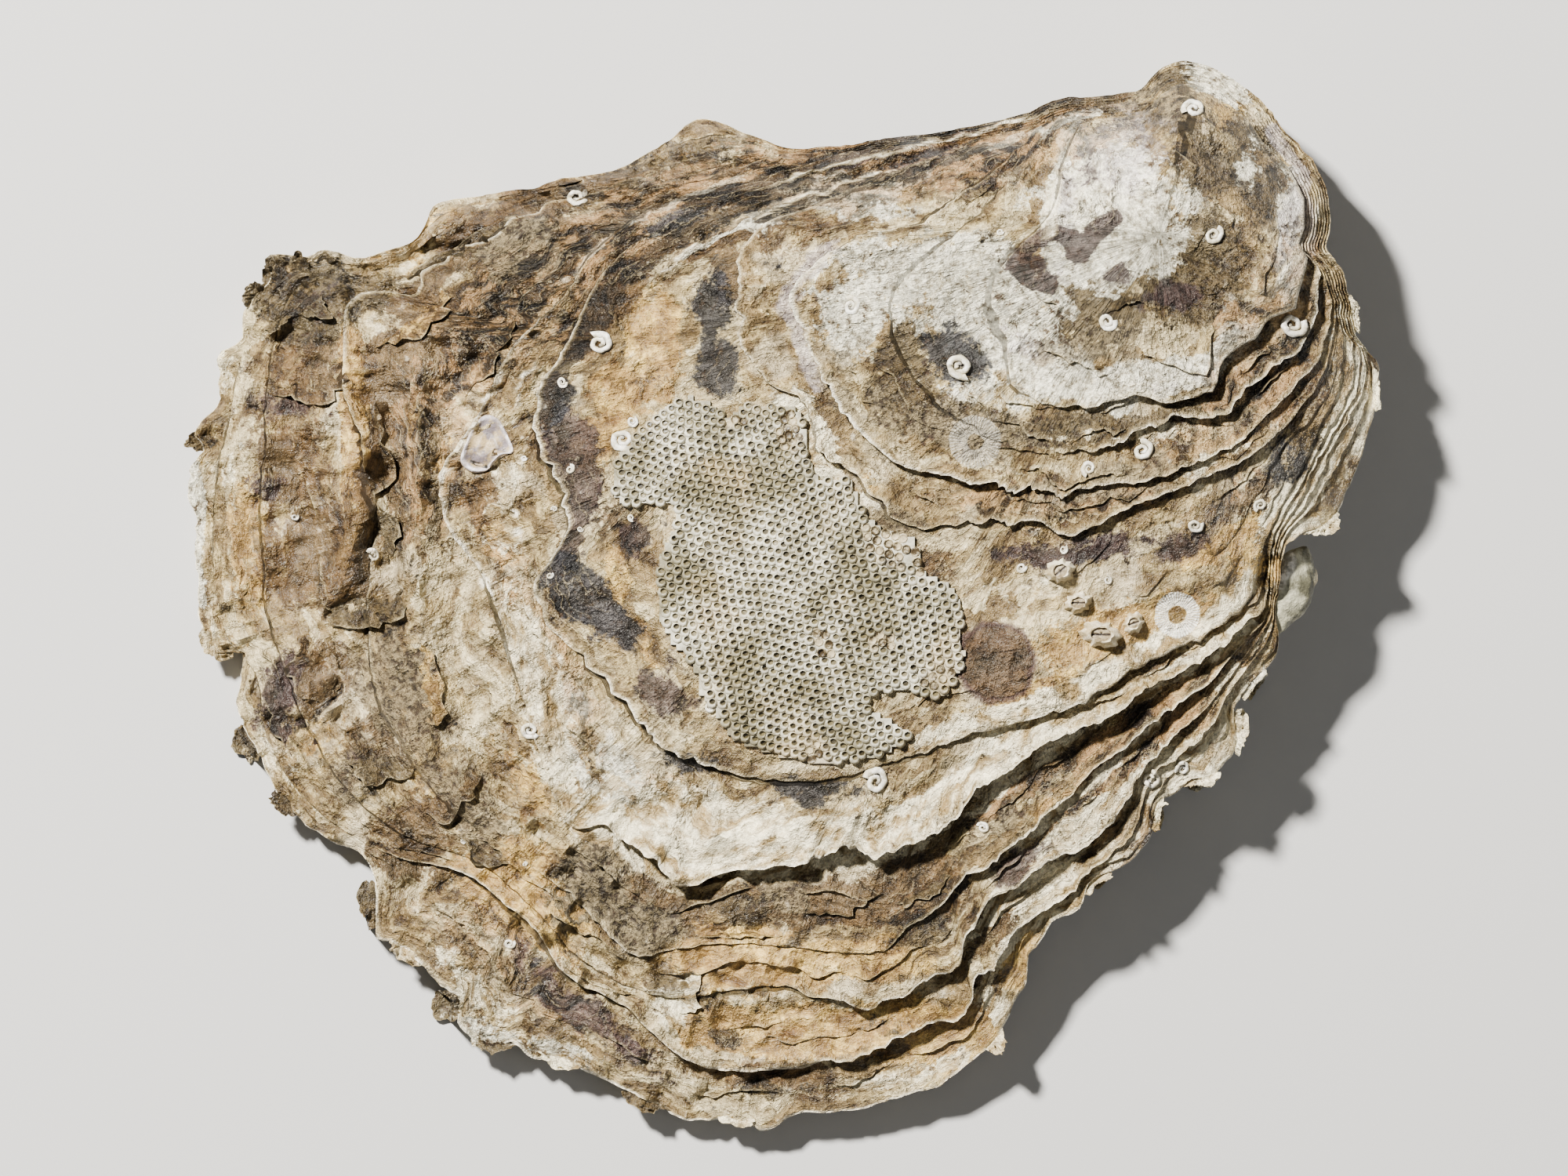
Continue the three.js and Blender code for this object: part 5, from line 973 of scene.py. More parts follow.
leaf_tree.links.new(g.times(g.ramp(tooth, 0.86, 0.99), shown), result.inputs["Light"])
leaf_tree.links.new(g.times(g.ramp(tooth, 0.13, 0.0), shown), result.inputs["Shadow"])
leaf_tree.links.new(g.ramp(own, 0.34, 0.66), result.inputs["Tone"])

# Scar: the flat white ring that a lost barnacle leaves, as a share from 0 to 1, finely rayed
scar_tree, g, given, result = group(
    "ring_scar", [("Place", "Vector"), ("Centre", "Vector"), ("Inner", "Float"), ("Outer", "Float")],
    [("Mask", "Float")])
off = g.split(g.vector("SUBTRACT", given["Place"], given["Centre"]))
far = g.plus(g.math("SQRT", g.plus(g.math("POWER", off[0], 2), g.math("POWER", off[1], 2))),
             g.times(g.minus(g.noise(given["Place"], 1.2, 1), 0.5), 0.35))
rays = g.math("SINE", g.times(g.math("ARCTAN2", off[1], off[0]), 46))
ring_mask = g.times(g.ramp(far, g.minus(given["Inner"], 0.08), g.plus(given["Inner"], 0.08)),
                   g.ramp(far, g.plus(given["Outer"], 0.08), g.minus(given["Outer"], 0.08)))
scar_tree.links.new(g.times(ring_mask, g.ramp(rays, -0.7, 0.4, 0.35, 1)), result.inputs["Mask"])


def use(graph, tree, inputs):
    """Places a node group in a graph and gives its outputs."""
    made = graph.tree.nodes.new("ShaderNodeGroup")
    made.node_tree = tree
    for socket, value in inputs.items():
        if isinstance(value, bpy.types.NodeSocket):
            graph.tree.links.new(value, made.inputs[socket])
        else:
            made.inputs[socket].default_value = value
    return made.outputs


def finish_material(name):
    """A new material, its graph and its shader."""
    material = bpy.data.materials.new(name)
    material.use_nodes = True
    return material, Graph(material.node_tree), material.node_tree.nodes["Principled BSDF"]


# The outer side: cream and gold lime with brown bands, stained, chalky where it is worn. The top of the dome,
# two ring scars and a brown spot have their places on the object, in mm. Depth and fullness act on all tones.
# Painted shade lies in its gaps, cracks, creases and troughs, and painted highlight on its lips and raised
# spots.
SCAR_PLACE, OLD_SCAR_PLACE, SPOT_PLACE = (34.85, -1.5, 0), (17, 13.7, 0), (18.9, -5.7, 0)
DOME_PLACE = (33.2, 31.85, 18)
SPOT_REACH = 3.5
DEPTH, FULLNESS = 1.3, 0.86
outer_paint, g, shader = finish_material("oyster_outer_side")
place = g.mm()
along, lip_here, painted_shade_here = g.attribute("round"), g.attribute("lip"), g.attribute("painted_shade")
warm, cold, form, pale = (g.split(g.attribute(name, "Vector")) for name in STAIN_VECTORS)
grain = use(g, grain_tree, {"Place": place, "Size": 0.7})
grown = g.plus(g.attribute("growth"), g.times(g.noise(place, 0.12, 2), 5))
wide_leaves = use(g, leaf_tree, {"Place": place, "Growth": grown, "Pitch": 3.3, "Tear": 6,
                                 "Share": g.plus(0.12, g.times(form[0], 0.2))})
thin_leaves = use(g, leaf_tree, {"Place": place, "Growth": grown, "Pitch": 1.15, "Tear": 1.3,
                                 "Share": g.plus(0.06, g.times(form[0], 0.3))})
leaf_tone = g.plus(g.times(wide_leaves["Tone"], 0.6), g.times(thin_leaves["Tone"], 0.4))

broken = g.plus(g.times(g.noise(place, 0.4, 5, 0.66, 0.3), 1.9), g.times(g.noise(place, 2.4, 2, 0.75), 0.7))
broken = g.plus(g.minus(broken, 1.3), g.times(g.minus(leaf_tone, 0.5), 0.4))


def stain(field, full=0.62):
    """A soft field cut off along a ragged edge, as a stain or a worn patch is. It keeps to whole leaves."""
    return g.ramp(g.plus(field, broken), 0.4, full)


layered, smooth_here, gritty = stain(form[0]), stain(form[1]), stain(form[2])
wavy = g.plus(grown, g.times(g.noise(place, 0.6, 4, 0.68), 2))
layering = g.noise(g.join(g.times(along, 0.16), g.times(wavy, 0.55), 2), 1, 4, 0.64)
thin_layering = g.noise(g.join(g.times(along, 0.4), g.times(wavy, 2.2), 5), 1, 3, 0.7)
from_dome = g.apart(place, DOME_PLACE)
fans = g.noise(g.join(g.times(along, 0.9), g.times(grown, 0.16), 9), 1, 3, 0.65)
fans = g.plus(0.5, g.times(g.minus(fans, 0.5), g.ramp(from_dome, 20, 55)))
flakes = g.noise(place, 0.55, 5, 0.66)
grit = g.noise(place, 1.3, 4, 0.76)
blotches = g.noise(place, 0.11, 4, 0.58)
relief = g.plus(g.plus(g.times(layering, 0.4), g.times(flakes, 0.27)),
                g.plus(g.times(thin_layering, 0.19), g.times(fans, 0.14)))
bands = g.noise(g.join(g.times(along, 0.2), g.times(wavy, 0.5), 3), 1, 3, 0.56)
lined = g.plus(g.times(bands, 0.74), g.plus(g.times(thin_layering, 0.12), g.times(flakes, 0.14)))
form_height = relief
relief = g.plus(relief, g.times(g.minus(lined, relief), layered))
calm = g.times(smooth_here, 0.07)
raised = g.ramp(relief, g.minus(0.4, calm), g.plus(0.6, calm))
gently_raised = g.ramp(relief, 0.32, 0.62)


def toned(mask, share, low, high, under_tone, by=raised):
    """Lays a stain over a tone, dark in the hollows and light on the raised spots: the stain's own range,
    with painted shade in the hollows and painted highlight on the raised spots.
    """
    return g.mix(g.times(mask, share), under_tone, g.mix(by, colour(low), colour(high)))


speckled = g.ramp(g.plus(g.times(grit, 0.5), g.times(relief, 0.5)), 0.41, 0.57)
# The base tone, darker in the bump's hollows and lighter on its raised spots: partly painted shade and
# painted highlight
tone = g.mix(raised, colour("#66502a"), colour("#d6c086"))
tone = toned(g.ramp(leaf_tone, 0.5, 0.66), 0.8, "#a58d5a", "#eee1b8", tone, gently_raised)
tone = toned(g.ramp(leaf_tone, 0.44, 0.3), 0.75, "#4f3d1f", "#a48850", tone)
tone = toned(g.ramp(blotches, 0.56, 0.64), 0.55, "#b3a074", "#f2e7c9", tone, gently_raised)
gold_mask = stain(warm[0])
tone = toned(gold_mask, 0.88, "#855f12", "#efcc5e", tone, g.ramp(relief, 0.38, 0.6))
rust = g.times(gold_mask, g.ramp(g.noise(place, 0.33, 4, 0.66), 0.42, 0.55))
tone = toned(rust, 0.7, "#5c4212", "#c39b49", tone)
brown_mask = stain(warm[1])
tone = toned(brown_mask, 0.87, "#2b1d0a", "#82632f", tone)
umber_mask = stain(pale[1])
tone = toned(umber_mask, 0.88, "#21190c", "#705f3c", tone, speckled)
chalk_mask = stain(warm[2])
tone = toned(chalk_mask, 0.92, "#a8a18c", "#fffbe8", tone, speckled)
tone = toned(stain(pale[2], 0.9), 0.5, "#94888f", "#f4ecf2", tone, gently_raised)
tone = toned(layered, 0.6, "#2a1b09", "#c2995a", tone, g.ramp(lined, 0.44, 0.56))
tone = toned(gritty, 0.7, "#41351e", "#ab9a73", tone, g.ramp(grit, 0.4, 0.58))
cream_mask = stain(pale[0])
tone = toned(cream_mask, 0.9, "#a98f55", "#fff6d6", tone, g.ramp(lined, 0.4, 0.56))
violet_mask = stain(cold[1], 0.72)
tone = toned(violet_mask, 0.88, "#150c0f", "#665050", tone)
blue_mask = stain(cold[0], 0.72)
tone = toned(blue_mask, 0.92, "#08080b", "#504f57", tone)
# The dark field: dark stains, with painted shade beside the shoulder's ridges
tone = toned(stain(cold[2]), 0.86, "#150e07", "#4f3f24", tone)
pits = g.times(g.ramp(grit, 0.455, 0.345), g.ramp(blotches, 0.4, 0.55, 1, 0.35))
tone = g.tint(tone, g.times(pits, g.minus(0.9, g.times(smooth_here, 0.35))), "#553c1a")
# White on the highest flakes, partly pale flakes and partly a painted highlight
tone = g.mix(g.times(g.ramp(flakes, 0.6, 0.7, 0, 0.4), g.ramp(layering, 0.45, 0.6)), tone,
             colour("#f4eedd"))
# Painted highlight on the lip of each torn leaf and painted shade at its foot
tone = g.tint(tone, g.times(wide_leaves["Light"], 0.25), "#f8e6bb")
tone = g.tint(tone, g.times(wide_leaves["Shadow"], 0.5), "#2a1a08")
tone = g.tint(tone, g.times(thin_leaves["Light"], 0.3), "#ecd9a8")
tone = g.tint(tone, g.times(thin_leaves["Shadow"], 0.45), "#3f2c14")
# Pale lip edges, partly the lime's own pale edge and partly a painted highlight, broken into patches
patchy_lip_highlight = g.ramp(g.noise(place, 0.5, 3, 0.7), 0.38, 0.54, 0.15, 1)
tone = g.tint(tone, g.times(g.ramp(lip_here, 0.15, 0.5), 0.35), "#dfcd9d")
tone = g.tint(tone, g.times(g.ramp(lip_here, 0.35, 0.95), patchy_lip_highlight), "#fff7e2")
# Painted shade in the gaps under lips, at the feet of steps, in cracks, creases, crumples and troughs, and
# under loose leaves
shade_mask = g.times(painted_shade_here, g.ramp(grain["Shade"], 0.7, 1.15, 1.3, 0.6))
tone = g.tint(tone, g.ramp(shade_mask, 0.2, 0.95, 0, 0.88), "#1f150a")
scar = use(g, scar_tree, {"Place": place, "Centre": SCAR_PLACE, "Inner": 0.8, "Outer": 2.0})[0]
old_scar = use(g, scar_tree, {"Place": place, "Centre": OLD_SCAR_PLACE, "Inner": 0.7, "Outer": 2.3})[0]
scar_middle = use(g, scar_tree, {"Place": place, "Centre": SCAR_PLACE, "Inner": -1, "Outer": 0.75})[0]
tone = g.tint(tone, scar, "#fdfbf4")
tone = g.tint(tone, scar_middle, "#5d4827")
tone = g.tint(tone, g.times(old_scar, 0.7), "#dcd6c8")
# One round brown spot with a darker rim, where something grew once
spot_off = g.apart(g.vector("MULTIPLY", place, (1, 1, 0)), SPOT_PLACE)
spot_off = g.plus(spot_off, g.times(g.minus(g.noise(place, 0.7, 2, 0.65), 0.5), 1.3))
tone = toned(g.ramp(spot_off, SPOT_REACH + 0.05, SPOT_REACH - 0.25), 0.9, "#20150a", "#735636", tone)
spot_rim = g.times(g.ramp(spot_off, SPOT_REACH - 0.5, SPOT_REACH - 0.1),
                   g.ramp(spot_off, SPOT_REACH + 0.4, SPOT_REACH, 0, 0.75))
tone = g.tint(tone, spot_rim, "#5b4344")
deep = g.node("Gamma", {0: g.shaded(tone, grain), 1: DEPTH}).outputs[0]
muted = g.node("HueSaturation", {"Color": deep, "Saturation": FULLNESS}).outputs[0]
g.tree.links.new(muted, shader.inputs["Base Color"])
dull = g.plus(g.times(chalk_mask, 0.25), g.times(gritty, 0.3))
g.tree.links.new(g.ramp(g.plus(dull, g.times(flakes, 0.5)), 0.1, 0.9, 0.36, 0.85),
                 shader.inputs["Roughness"])
height = g.plus(g.times(wide_leaves["Height"], 0.5), g.times(thin_leaves["Height"], 0.2))
strong = g.ramp(form[1], 0.2, 0.9, 3, 1.3)
height = g.plus(height, g.times(form_height, strong))
height = g.plus(height, g.times(grit, g.ramp(form[2], 0.2, 0.8, 0.2, 0.85)))
height = g.plus(height, grain["Height"])
g.bump(height, shader)
valve.data.materials.append(outer_paint)

# The inner side: smooth porcelain, with the scar of the closing muscle and a horny rim. It is out of sight.
inner_paint, g, shader = finish_material("oyster_inner_side")
place = g.mm()
grain = use(g, grain_tree, {"Place": place, "Size": 3})
SCAR_AT, SCAR_HALF = (-3, -9), (8.5, 5.5)
x, y, _ = g.split(place)
scar = g.math("SQRT", g.plus(g.math("POWER", g.over(g.minus(x, SCAR_AT[0]), SCAR_HALF[0]), 2),
                             g.math("POWER", g.over(g.minus(y, SCAR_AT[1]), SCAR_HALF[1]), 2)))
scar = g.ramp(g.plus(scar, g.times(g.noise(place, 0.2, 2), 0.35)), 1.26, 1.14)
tone = g.mix(g.ramp(g.noise(place, 0.06, 4), 0.35, 0.65), colour("#d9d6cc"), colour("#efeee8"))
tone = g.tint(tone, g.ramp(g.noise(place, 0.1, 3), 0.55, 0.75, 0, 0.5), "#b9bba4")
tone = g.tint(tone, g.ramp(g.attribute("growth"), 991, 998, 0, 0.8), "#a99674")
tone = g.tint(tone, g.times(scar, 0.75), "#6b4f5c")
g.tree.links.new(tone, shader.inputs["Base Color"])
shader.inputs["Roughness"].default_value = 0.28
height = g.plus(g.times(g.noise(place, 0.3, 3), 0.25), g.times(scar, -0.15))
g.bump(height, shader)
valve.data.materials.append(inner_paint)
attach(valve, "root")
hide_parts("valve")

# The torn leaves
# Thin leaves of the valve that have come loose over its left wing, its lower tiers and its margin. Each is
# a ragged sheet that dips into the valve at its root and lifts at its free edge.
# x, y, half length, half width, turn in degrees, where the free edge faces, lift in mm, stain
LEAVES = [
    (-39.2, 11.2, 4.4, 6.2, 5, -15, 0.7, "brown"), (-42.4, 19.6, 4.2, 3.2, 10, -70, 0.5, "brown"),
    (-31.4, 14.4, 2.2, 4.2, 10, 170, 0.45, "gold"), (-37.4, -0.6, 4.2, 2.6, 0, -80, 0.6, "umber"),
    (-41, -6.4, 4, 2.8, 30, 200, 0.5, "brown"), (-43.8, -11.4, 2.6, 4, 10, 190, 0.5, "violet"),
    (-33, -8.4, 2.6, 4, 20, 0, 0.55, "gold"), (-35.4, -14.6, 3.6, 2.6, 35, -110, 0.6, "umber"),
    (-30.2, -17.6, 3.2, 2.4, 40, -50, 0.6, "brown"), (-33.4, 24.2, 4.4, 2.2, 30, -50, 0.55, "gold"),
    (-28.4, 29.2, 5, 1.6, 25, 120, 0.5, "umber"), (-26.8, 20.6, 1.8, 4.6, -35, -30, 0.4, "brown"),
    (-36.6, 5.4, 1.8, 3, 20, 20, 0.7, "umber"), (-46.8, 5, 2.6, 5, 0, 180, 0.4, "gold"),
    (-26.4, -22.4, 3, 2, -40, -120, 0.5, "umber"), (4.6, -27, 3.4, 2.1, 0, -70, 0.4, "brown"),
    (-4.4, -29.6, 4.4, 1.5, -4, -90, 0.3, "gold"), (-9.6, -36.2, 2.2, 1.9, 20, -10, 0.45, "cream"),
    (11.4, -26.4, 2.8, 1.5, 35, -60, 0.3, "umber"), (-18.4, -28.4, 3, 1.7, -40, -120, 0.4, "gold"),
    (1.6, -38.8, 4.6, 1.4, 0, -90, 0.2, "gold"), (-15.6, 34.2, 4.6, 1.2, 18, 110, 0.35, "umber"),
    (-20.6, 26.4, 1.4, 4, -42, 130, 0.4, "dark"), (-4.6, 36.2, 5, 1, 14, 100, 0.3, "brown"),
    (-45.2, 28.2, 1.3, 1.2, 0, 100, 0.9, "umber"), (-43.2, 28.4, 1, 1.3, 0, 80, 0.8, "umber"),
    (-46.6, 26, 1.5, 1.3, 30, 150, 0.8, "umber"), (-41, 28.6, 1.4, 1, 20, 70, 0.7, "umber"),
    (-42.6, 25.4, 2.2, 1.4, -30, -40, 0.9, "umber"), (-45.4, 24, 1.6, 1.2, 20, -60, 0.8, "umber"),
    (-51.8, 13, 1.5, 0.9, 10, 190, 0.9, "umber"), (-50.6, -4.8, 1.3, 1.6, 20, 200, 0.7, "cream"),
    (-47.8, -13.8, 1.2, 1.8, 25, 200, 0.6, "umber"), (-44.2, -19, 1.8, 1.2, -40, 220, 0.6, "umber"),
    (-36.6, -28.4, 1.3, 2.2, 0, 190, 0.7, "umber"), (-34, -31.8, 1.9, 1.2, -35, 230, 0.6, "cream"),
    (-29.6, -37, 1.6, 1.5, 0, 220, 0.6, "umber"), (-25.6, -40.2, 1.9, 1.1, 10, 250, 0.6, "umber"),
    (-19.6, -41.8, 2.2, 1, -15, 250, 0.5, "cream"), (-11.8, -45.6, 2, 1, -20, 250, 0.5, "umber"),
    (-4, -47, 2.2, 0.9, 0, 265, 0.5, "cream"), (18.6, -40, 1.2, 1.6, 40, -40, 0.6, "cream"),
    (27.6, -26, 1.8, 1, 35, -50, 0.7, "cream"), (36.8, -17, 1.7, 1, 20, -60, 0.8, "chalk"),
    (40, -12.8, 1, 1.9, 0, 0, 0.8, "chalk"), (41.6, -8.6, 1, 1.8, -35, -20, 0.7, "chalk"),
    (33, -19.8, 1.1, 1.6, -20, -20, 0.6, "cream"), (47.6, 5.6, 1.7, 1, 30, -60, 0.5, "cream"),
    (52, 17.6, 0.9, 2.2, 0, 0, 0.5, "cream"), (50.2, 24, 0.9, 1.8, 15, 10, 0.5, "cream"),
]
LEAF_THICK = 0.14
LEAF_RINGS = 7
LEAF_CORNERS = 44
LEAF_REST = 0.7


def surface(x, y):
    """Height of the valve at a plan point, and the way it faces."""
    start = Vector(((x + PLAN_TO_ORIGIN[0]) * MM, (y + PLAN_TO_ORIGIN[1]) * MM, 0.05))
    place, normal, _, _ = valve_tree.ray_cast(start, Vector((0, 0, -1)))
    return (place.z / MM, normal) if place else (0, Vector((0, 0, 1)))


def skin(mesh, rings):
    """Joins closed rings of points into one skin. Returns each corner with its ring and its place there."""
    start, wide = len(mesh.verts), len(rings[0])
    bmesh.ops.create_grid(mesh, x_segments=wide, y_segments=len(rings) - 1, size=1)
    mesh.verts.ensure_lookup_table()
    corners = [(vert, i // (wide + 1), i % (wide + 1) % wide) for i, vert in enumerate(mesh.verts[start:])]
    for vert, j, i in corners:
        vert.co = rings[j][i]
    return corners


def object_from(mesh, name, sharp=50):
    """Closes a mesh laid out in plan mm, moves it to the frame in metres, and makes it an object."""
    bmesh.ops.remove_doubles(mesh, verts=mesh.verts, dist=0.0005)
    for vert in mesh.verts:
        vert.co = ((vert.co.x + PLAN_TO_ORIGIN[0]) * MM, (vert.co.y + PLAN_TO_ORIGIN[1]) * MM, vert.co.z * MM)
    bmesh.ops.recalc_face_normals(mesh, faces=mesh.faces)
    for face in mesh.faces:
        face.smooth = True
    made = bpy.data.objects.new(name, bpy.data.meshes.new(name))
    mesh.to_mesh(made.data)
    mesh.free()
    made.data.set_sharp_from_angle(angle=math.radians(sharp))
    bpy.context.collection.objects.link(made)
    return made


def leaf_rest(x, y, root_height):
    """The even height that a leaf lies on, past the small bumps of the valve."""
    around = ((0, 0), (LEAF_REST, 0), (-LEAF_REST, 0), (0, LEAF_REST), (0, -LEAF_REST))
    found = [surface(x + dx, y + dy)[0] for dx, dy in around]
    found = [z for z in found if z > 0.3]
    return sum(found) / len(found) if found else root_height


near_valve = KDTree(int(outer.sum()))
outer_places = np.argwhere(outer)
for number, (row, column) in enumerate(outer_places):
    near_valve.insert((*plan[row, column], 0), number)
near_valve.balance()
leaves = bmesh.new()
own_layers, own_stains = surface_layers(leaves)
for number, (x, y, half_long, half_wide, turn, faces_to, rise, stained) in enumerate(LEAVES):
    c, s = math.cos(math.radians(turn)), math.sin(math.radians(turn))
    root_height = surface(x, y)[0]
    tops, lips = [], []
    for k in range(LEAF_RINGS + 1):
        share = k / LEAF_RINGS
        ring, edge = [], []
        for i in range(LEAF_CORNERS):
            a = 2 * math.pi * i / LEAF_CORNERS
            ragged = noise.fractal(Vector((1.1 * math.cos(a), 1.1 * math.sin(a), 3.3 * number)), 0.6, 2.2, 4)
            reach = share * (1 + 0.42 * ragged)
            px, py = half_long * reach * math.cos(a), half_wide * reach * math.sin(a)
            gx, gy = x + px * c - py * s, y + px * s + py * c
            toward = math.cos(a + math.radians(turn - faces_to)) * share
            free = smooth(min(1, max(0, (toward + 0.35) / 1.25)))
            curl = 0.3 * rise * noise.fractal(Vector((gx / 1.6, gy / 1.6, 5)), 0.8, 2.1, 2)
            z = leaf_rest(gx, gy, root_height) - 0.35 + (0.35 + rise * free) * free + curl * free
            ring.append((gx, gy, max(0.3, z)))
            # The free edge gets the lip's pale edge and painted highlight
            edge.append(0.55 * free * share**16 * (0.4 + 0.6 * abs(math.sin(3.1 * a + number))))
        tops.append(ring)
        lips.append(edge)
    rings = tops + [[(px, py, pz - LEAF_THICK) for px, py, pz in ring] for ring in reversed(tops)]
    marks = lips + [[0.2 * v for v in edge] for edge in reversed(lips)]
    for vert, j, i in skin(leaves, rings):
        row, column = outer_places[near_valve.find((vert.co.x, vert.co.y, 0))[1]]
        vert[own_layers["growth"]] = growth[row, column]
        vert[own_layers["round"]] = round_mm[column]
        vert[own_layers["lip"]] = marks[j][i]
        # The leaf's underside carries full painted shade
        vert[own_layers["painted_shade"]] = 0 if j <= LEAF_RINGS else 1
        for layer, stains in own_stains.items():
            vert[layer] = [1.1 if stain == stained else 0.6 * fields[stain][row, column] for stain in stains]
torn_leaves = object_from(leaves, "torn_leaves")
torn_leaves.data.materials.append(outer_paint)
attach(torn_leaves, "root")

# The moss-animal crust
# A sheet of small lime chambers that a colony grew over the middle of the valve. Each chamber has a
# bulging front and one round hole. It is broken away in places, and its rim is crumbly.
COLONY = [(-8.5, 16.8), (-6.5, 16.2), (-4.8, 15), (-3.5, 16), (-0.5, 16), (1, 15.7), (1.8, 14), (2, 11.5),
          (3, 9.7), (5.5, 9.5), (6.5, 8), (7, 6.5), (9, 5), (11, 4.5), (12, 3), (12.3, 1.5), (14, 0.5),
          (15.6, -1.5), (15.5, -4), (15.8, -6), (15, -8), (14, -9.7), (11, -8.8), (8, -9.3), (7, -10.3),
          (9, -11.5), (11, -13), (10, -14), (7, -15), (3.5, -15.3), (0, -14.9), (-2, -14.2), (-4, -13.5),
          (-5.2, -12.3), (-6.2, -10.8), (-7.3, -9.2), (-7.5, -8), (-8.5, -6), (-10, -4.5), (-11, -2),
          (-11.2, 0), (-10.8, 3), (-9.7, 5), (-9.5, 7.3), (-12, 7.5), (-14, 7.3), (-15, 8.5), (-14.8, 10.5),
          (-14, 12.3), (-12.5, 13.8), (-11, 15.3), (-9.5, 16.2)]
CHAMBER_PITCH, SHEET_CELL, SHEET_ABOVE = 0.84, 0.5, 0.34     # mm
colony_line = closed_curve(COLONY, 3)

xs = np.arange(-16.5, 17.5, SHEET_CELL)
ys = np.arange(-17, 18.5, SHEET_CELL)
bare = np.array([[surface(x, y)[0] for x in xs] for y in ys])
even = bare.copy()
for _ in range(6):
    padded = np.pad(even, 1, mode="edge")
    even = (padded[1:-1, 1:-1] * 2 + padded[:-2, 1:-1] + padded[2:, 1:-1] + padded[1:-1, :-2]
            + padded[1:-1, 2:]) / 6
sheet_top = np.maximum(even + SHEET_ABOVE, bare + 0.15)


def sheet_height(x, y):
    """Height of the crust's sheet over plan points, between its grid points."""
    i = np.clip((np.asarray(x) - xs[0]) / SHEET_CELL, 0, len(xs) - 1.001)
    j = np.clip((np.asarray(y) - ys[0]) / SHEET_CELL, 0, len(ys) - 1.001)
    i0, j0 = i.astype(int), j.astype(int)
    u, v = i - i0, j - j0
    return ((sheet_top[j0, i0] * (1 - u) + sheet_top[j0, i0 + 1] * u) * (1 - v)
            + (sheet_top[j0 + 1, i0] * (1 - u) + sheet_top[j0 + 1, i0 + 1] * u) * v)


crust_mesh = bmesh.new()
pore_layer = crust_mesh.verts.layers.float.new("pore")
crumbly_layer = crust_mesh.verts.layers.float.new("crumbly")
bmesh.ops.create_grid(crust_mesh, x_segments=len(xs) - 1, y_segments=len(ys) - 1, size=1)
crust_mesh.verts.ensure_lookup_table()
for j, y in enumerate(ys):
    for i, x in enumerate(xs):
        crust_mesh.verts[j * len(xs) + i].co = (x, y, sheet_top[j, i])
middles = np.array([face.calc_center_median()[:2] for face in crust_mesh.faces])
off_sheet = ~inside(colony_line, middles)
bmesh.ops.delete(crust_mesh, geom=[f for f, off in zip(list(crust_mesh.faces), off_sheet) if off],
                 context="FACES")
down = bmesh.ops.extrude_face_region(crust_mesh, geom=list(crust_mesh.faces), use_keep_orig=True)
for vert in [v for v in down["geom"] if isinstance(v, bmesh.types.BMVert)]:
    vert.co.z = surface(vert.co.x, vert.co.y)[0] - 0.25
bmesh.ops.recalc_face_normals(crust_mesh, faces=crust_mesh.faces)

# Broken places: x, y, half length, half width, turn in degrees
BROKEN = [
    (9.8, 3.8, 3, 1.7, -25), (12.6, 2.2, 1.8, 1.3, -60), (8.6, -4.7, 1.2, 0.7, 0),
    (3.4, -4.9, 0.9, 1.3, 20), (0.6, 13.8, 1, 1.7, 0), (-4.5, 14.8, 1, 0.6, 0), (13.6, -7.9, 1.4, 0.7, 30),
    (2.6, -14.4, 1, 0.8, 0),
]
LOST_FRONT = (-6.6, 4.1)
pitch = CHAMBER_PITCH
hexes = np.array([(i * pitch + (j % 2) * pitch / 2, j * pitch * 0.866) for j in range(-30, 31)
                  for i in range(-30, 31)])
turned = math.radians(-17)
hexes = hexes @ np.array([[math.cos(turned), math.sin(turned)], [-math.sin(turned), math.cos(turned)]])
sway = np.stack([ripple(hexes, 9, 51.5, 1), ripple(hexes, 9, 53.5, 1)], 1) * 1.1
shake = np.stack([ripple(hexes, 0.9, 55.5, 1), ripple(hexes, 0.9, 57.5, 1)], 1) * 0.13
chambers = hexes + sway + shake
chambers = chambers[inside(colony_line, chambers)]

# From the foot of a chamber to the floor of its hole: radius, height and how far the ring is moved towards
# the hole, in mm, and its tone, from -1 in the seam to 1 in the hole, which carries painted shade in both
WHOLE = [(0.52, -0.04, 0, -1), (0.46, 0.1, 0, -0.6), (0.39, 0.27, -0.03, 0), (0.31, 0.31, 0.07, 0),
         (0.25, 0.2, 0.14, 0.75), (0.2, 0.05, 0.15, 1)]
OPEN = [(0.48, -0.14, 0, -1), (0.42, 0.1, 0, -0.3), (0.37, 0.17, 0, 0.2), (0.31, 0.12, 0, 0.8),
        (0.28, 0.05, 0, 1), (0.2, 0.03, 0, 1)]
CORNERS = 8
chamber_shape = bmesh.new()
bmesh.ops.create_grid(chamber_shape, x_segments=CORNERS, y_segments=len(WHOLE), size=1)
pattern = bpy.data.meshes.new("chamber_pattern")
chamber_shape.to_mesh(pattern)
chamber_shape.free()
around = np.arange(CORNERS + 1) % CORNERS * 2 * math.pi / CORNERS
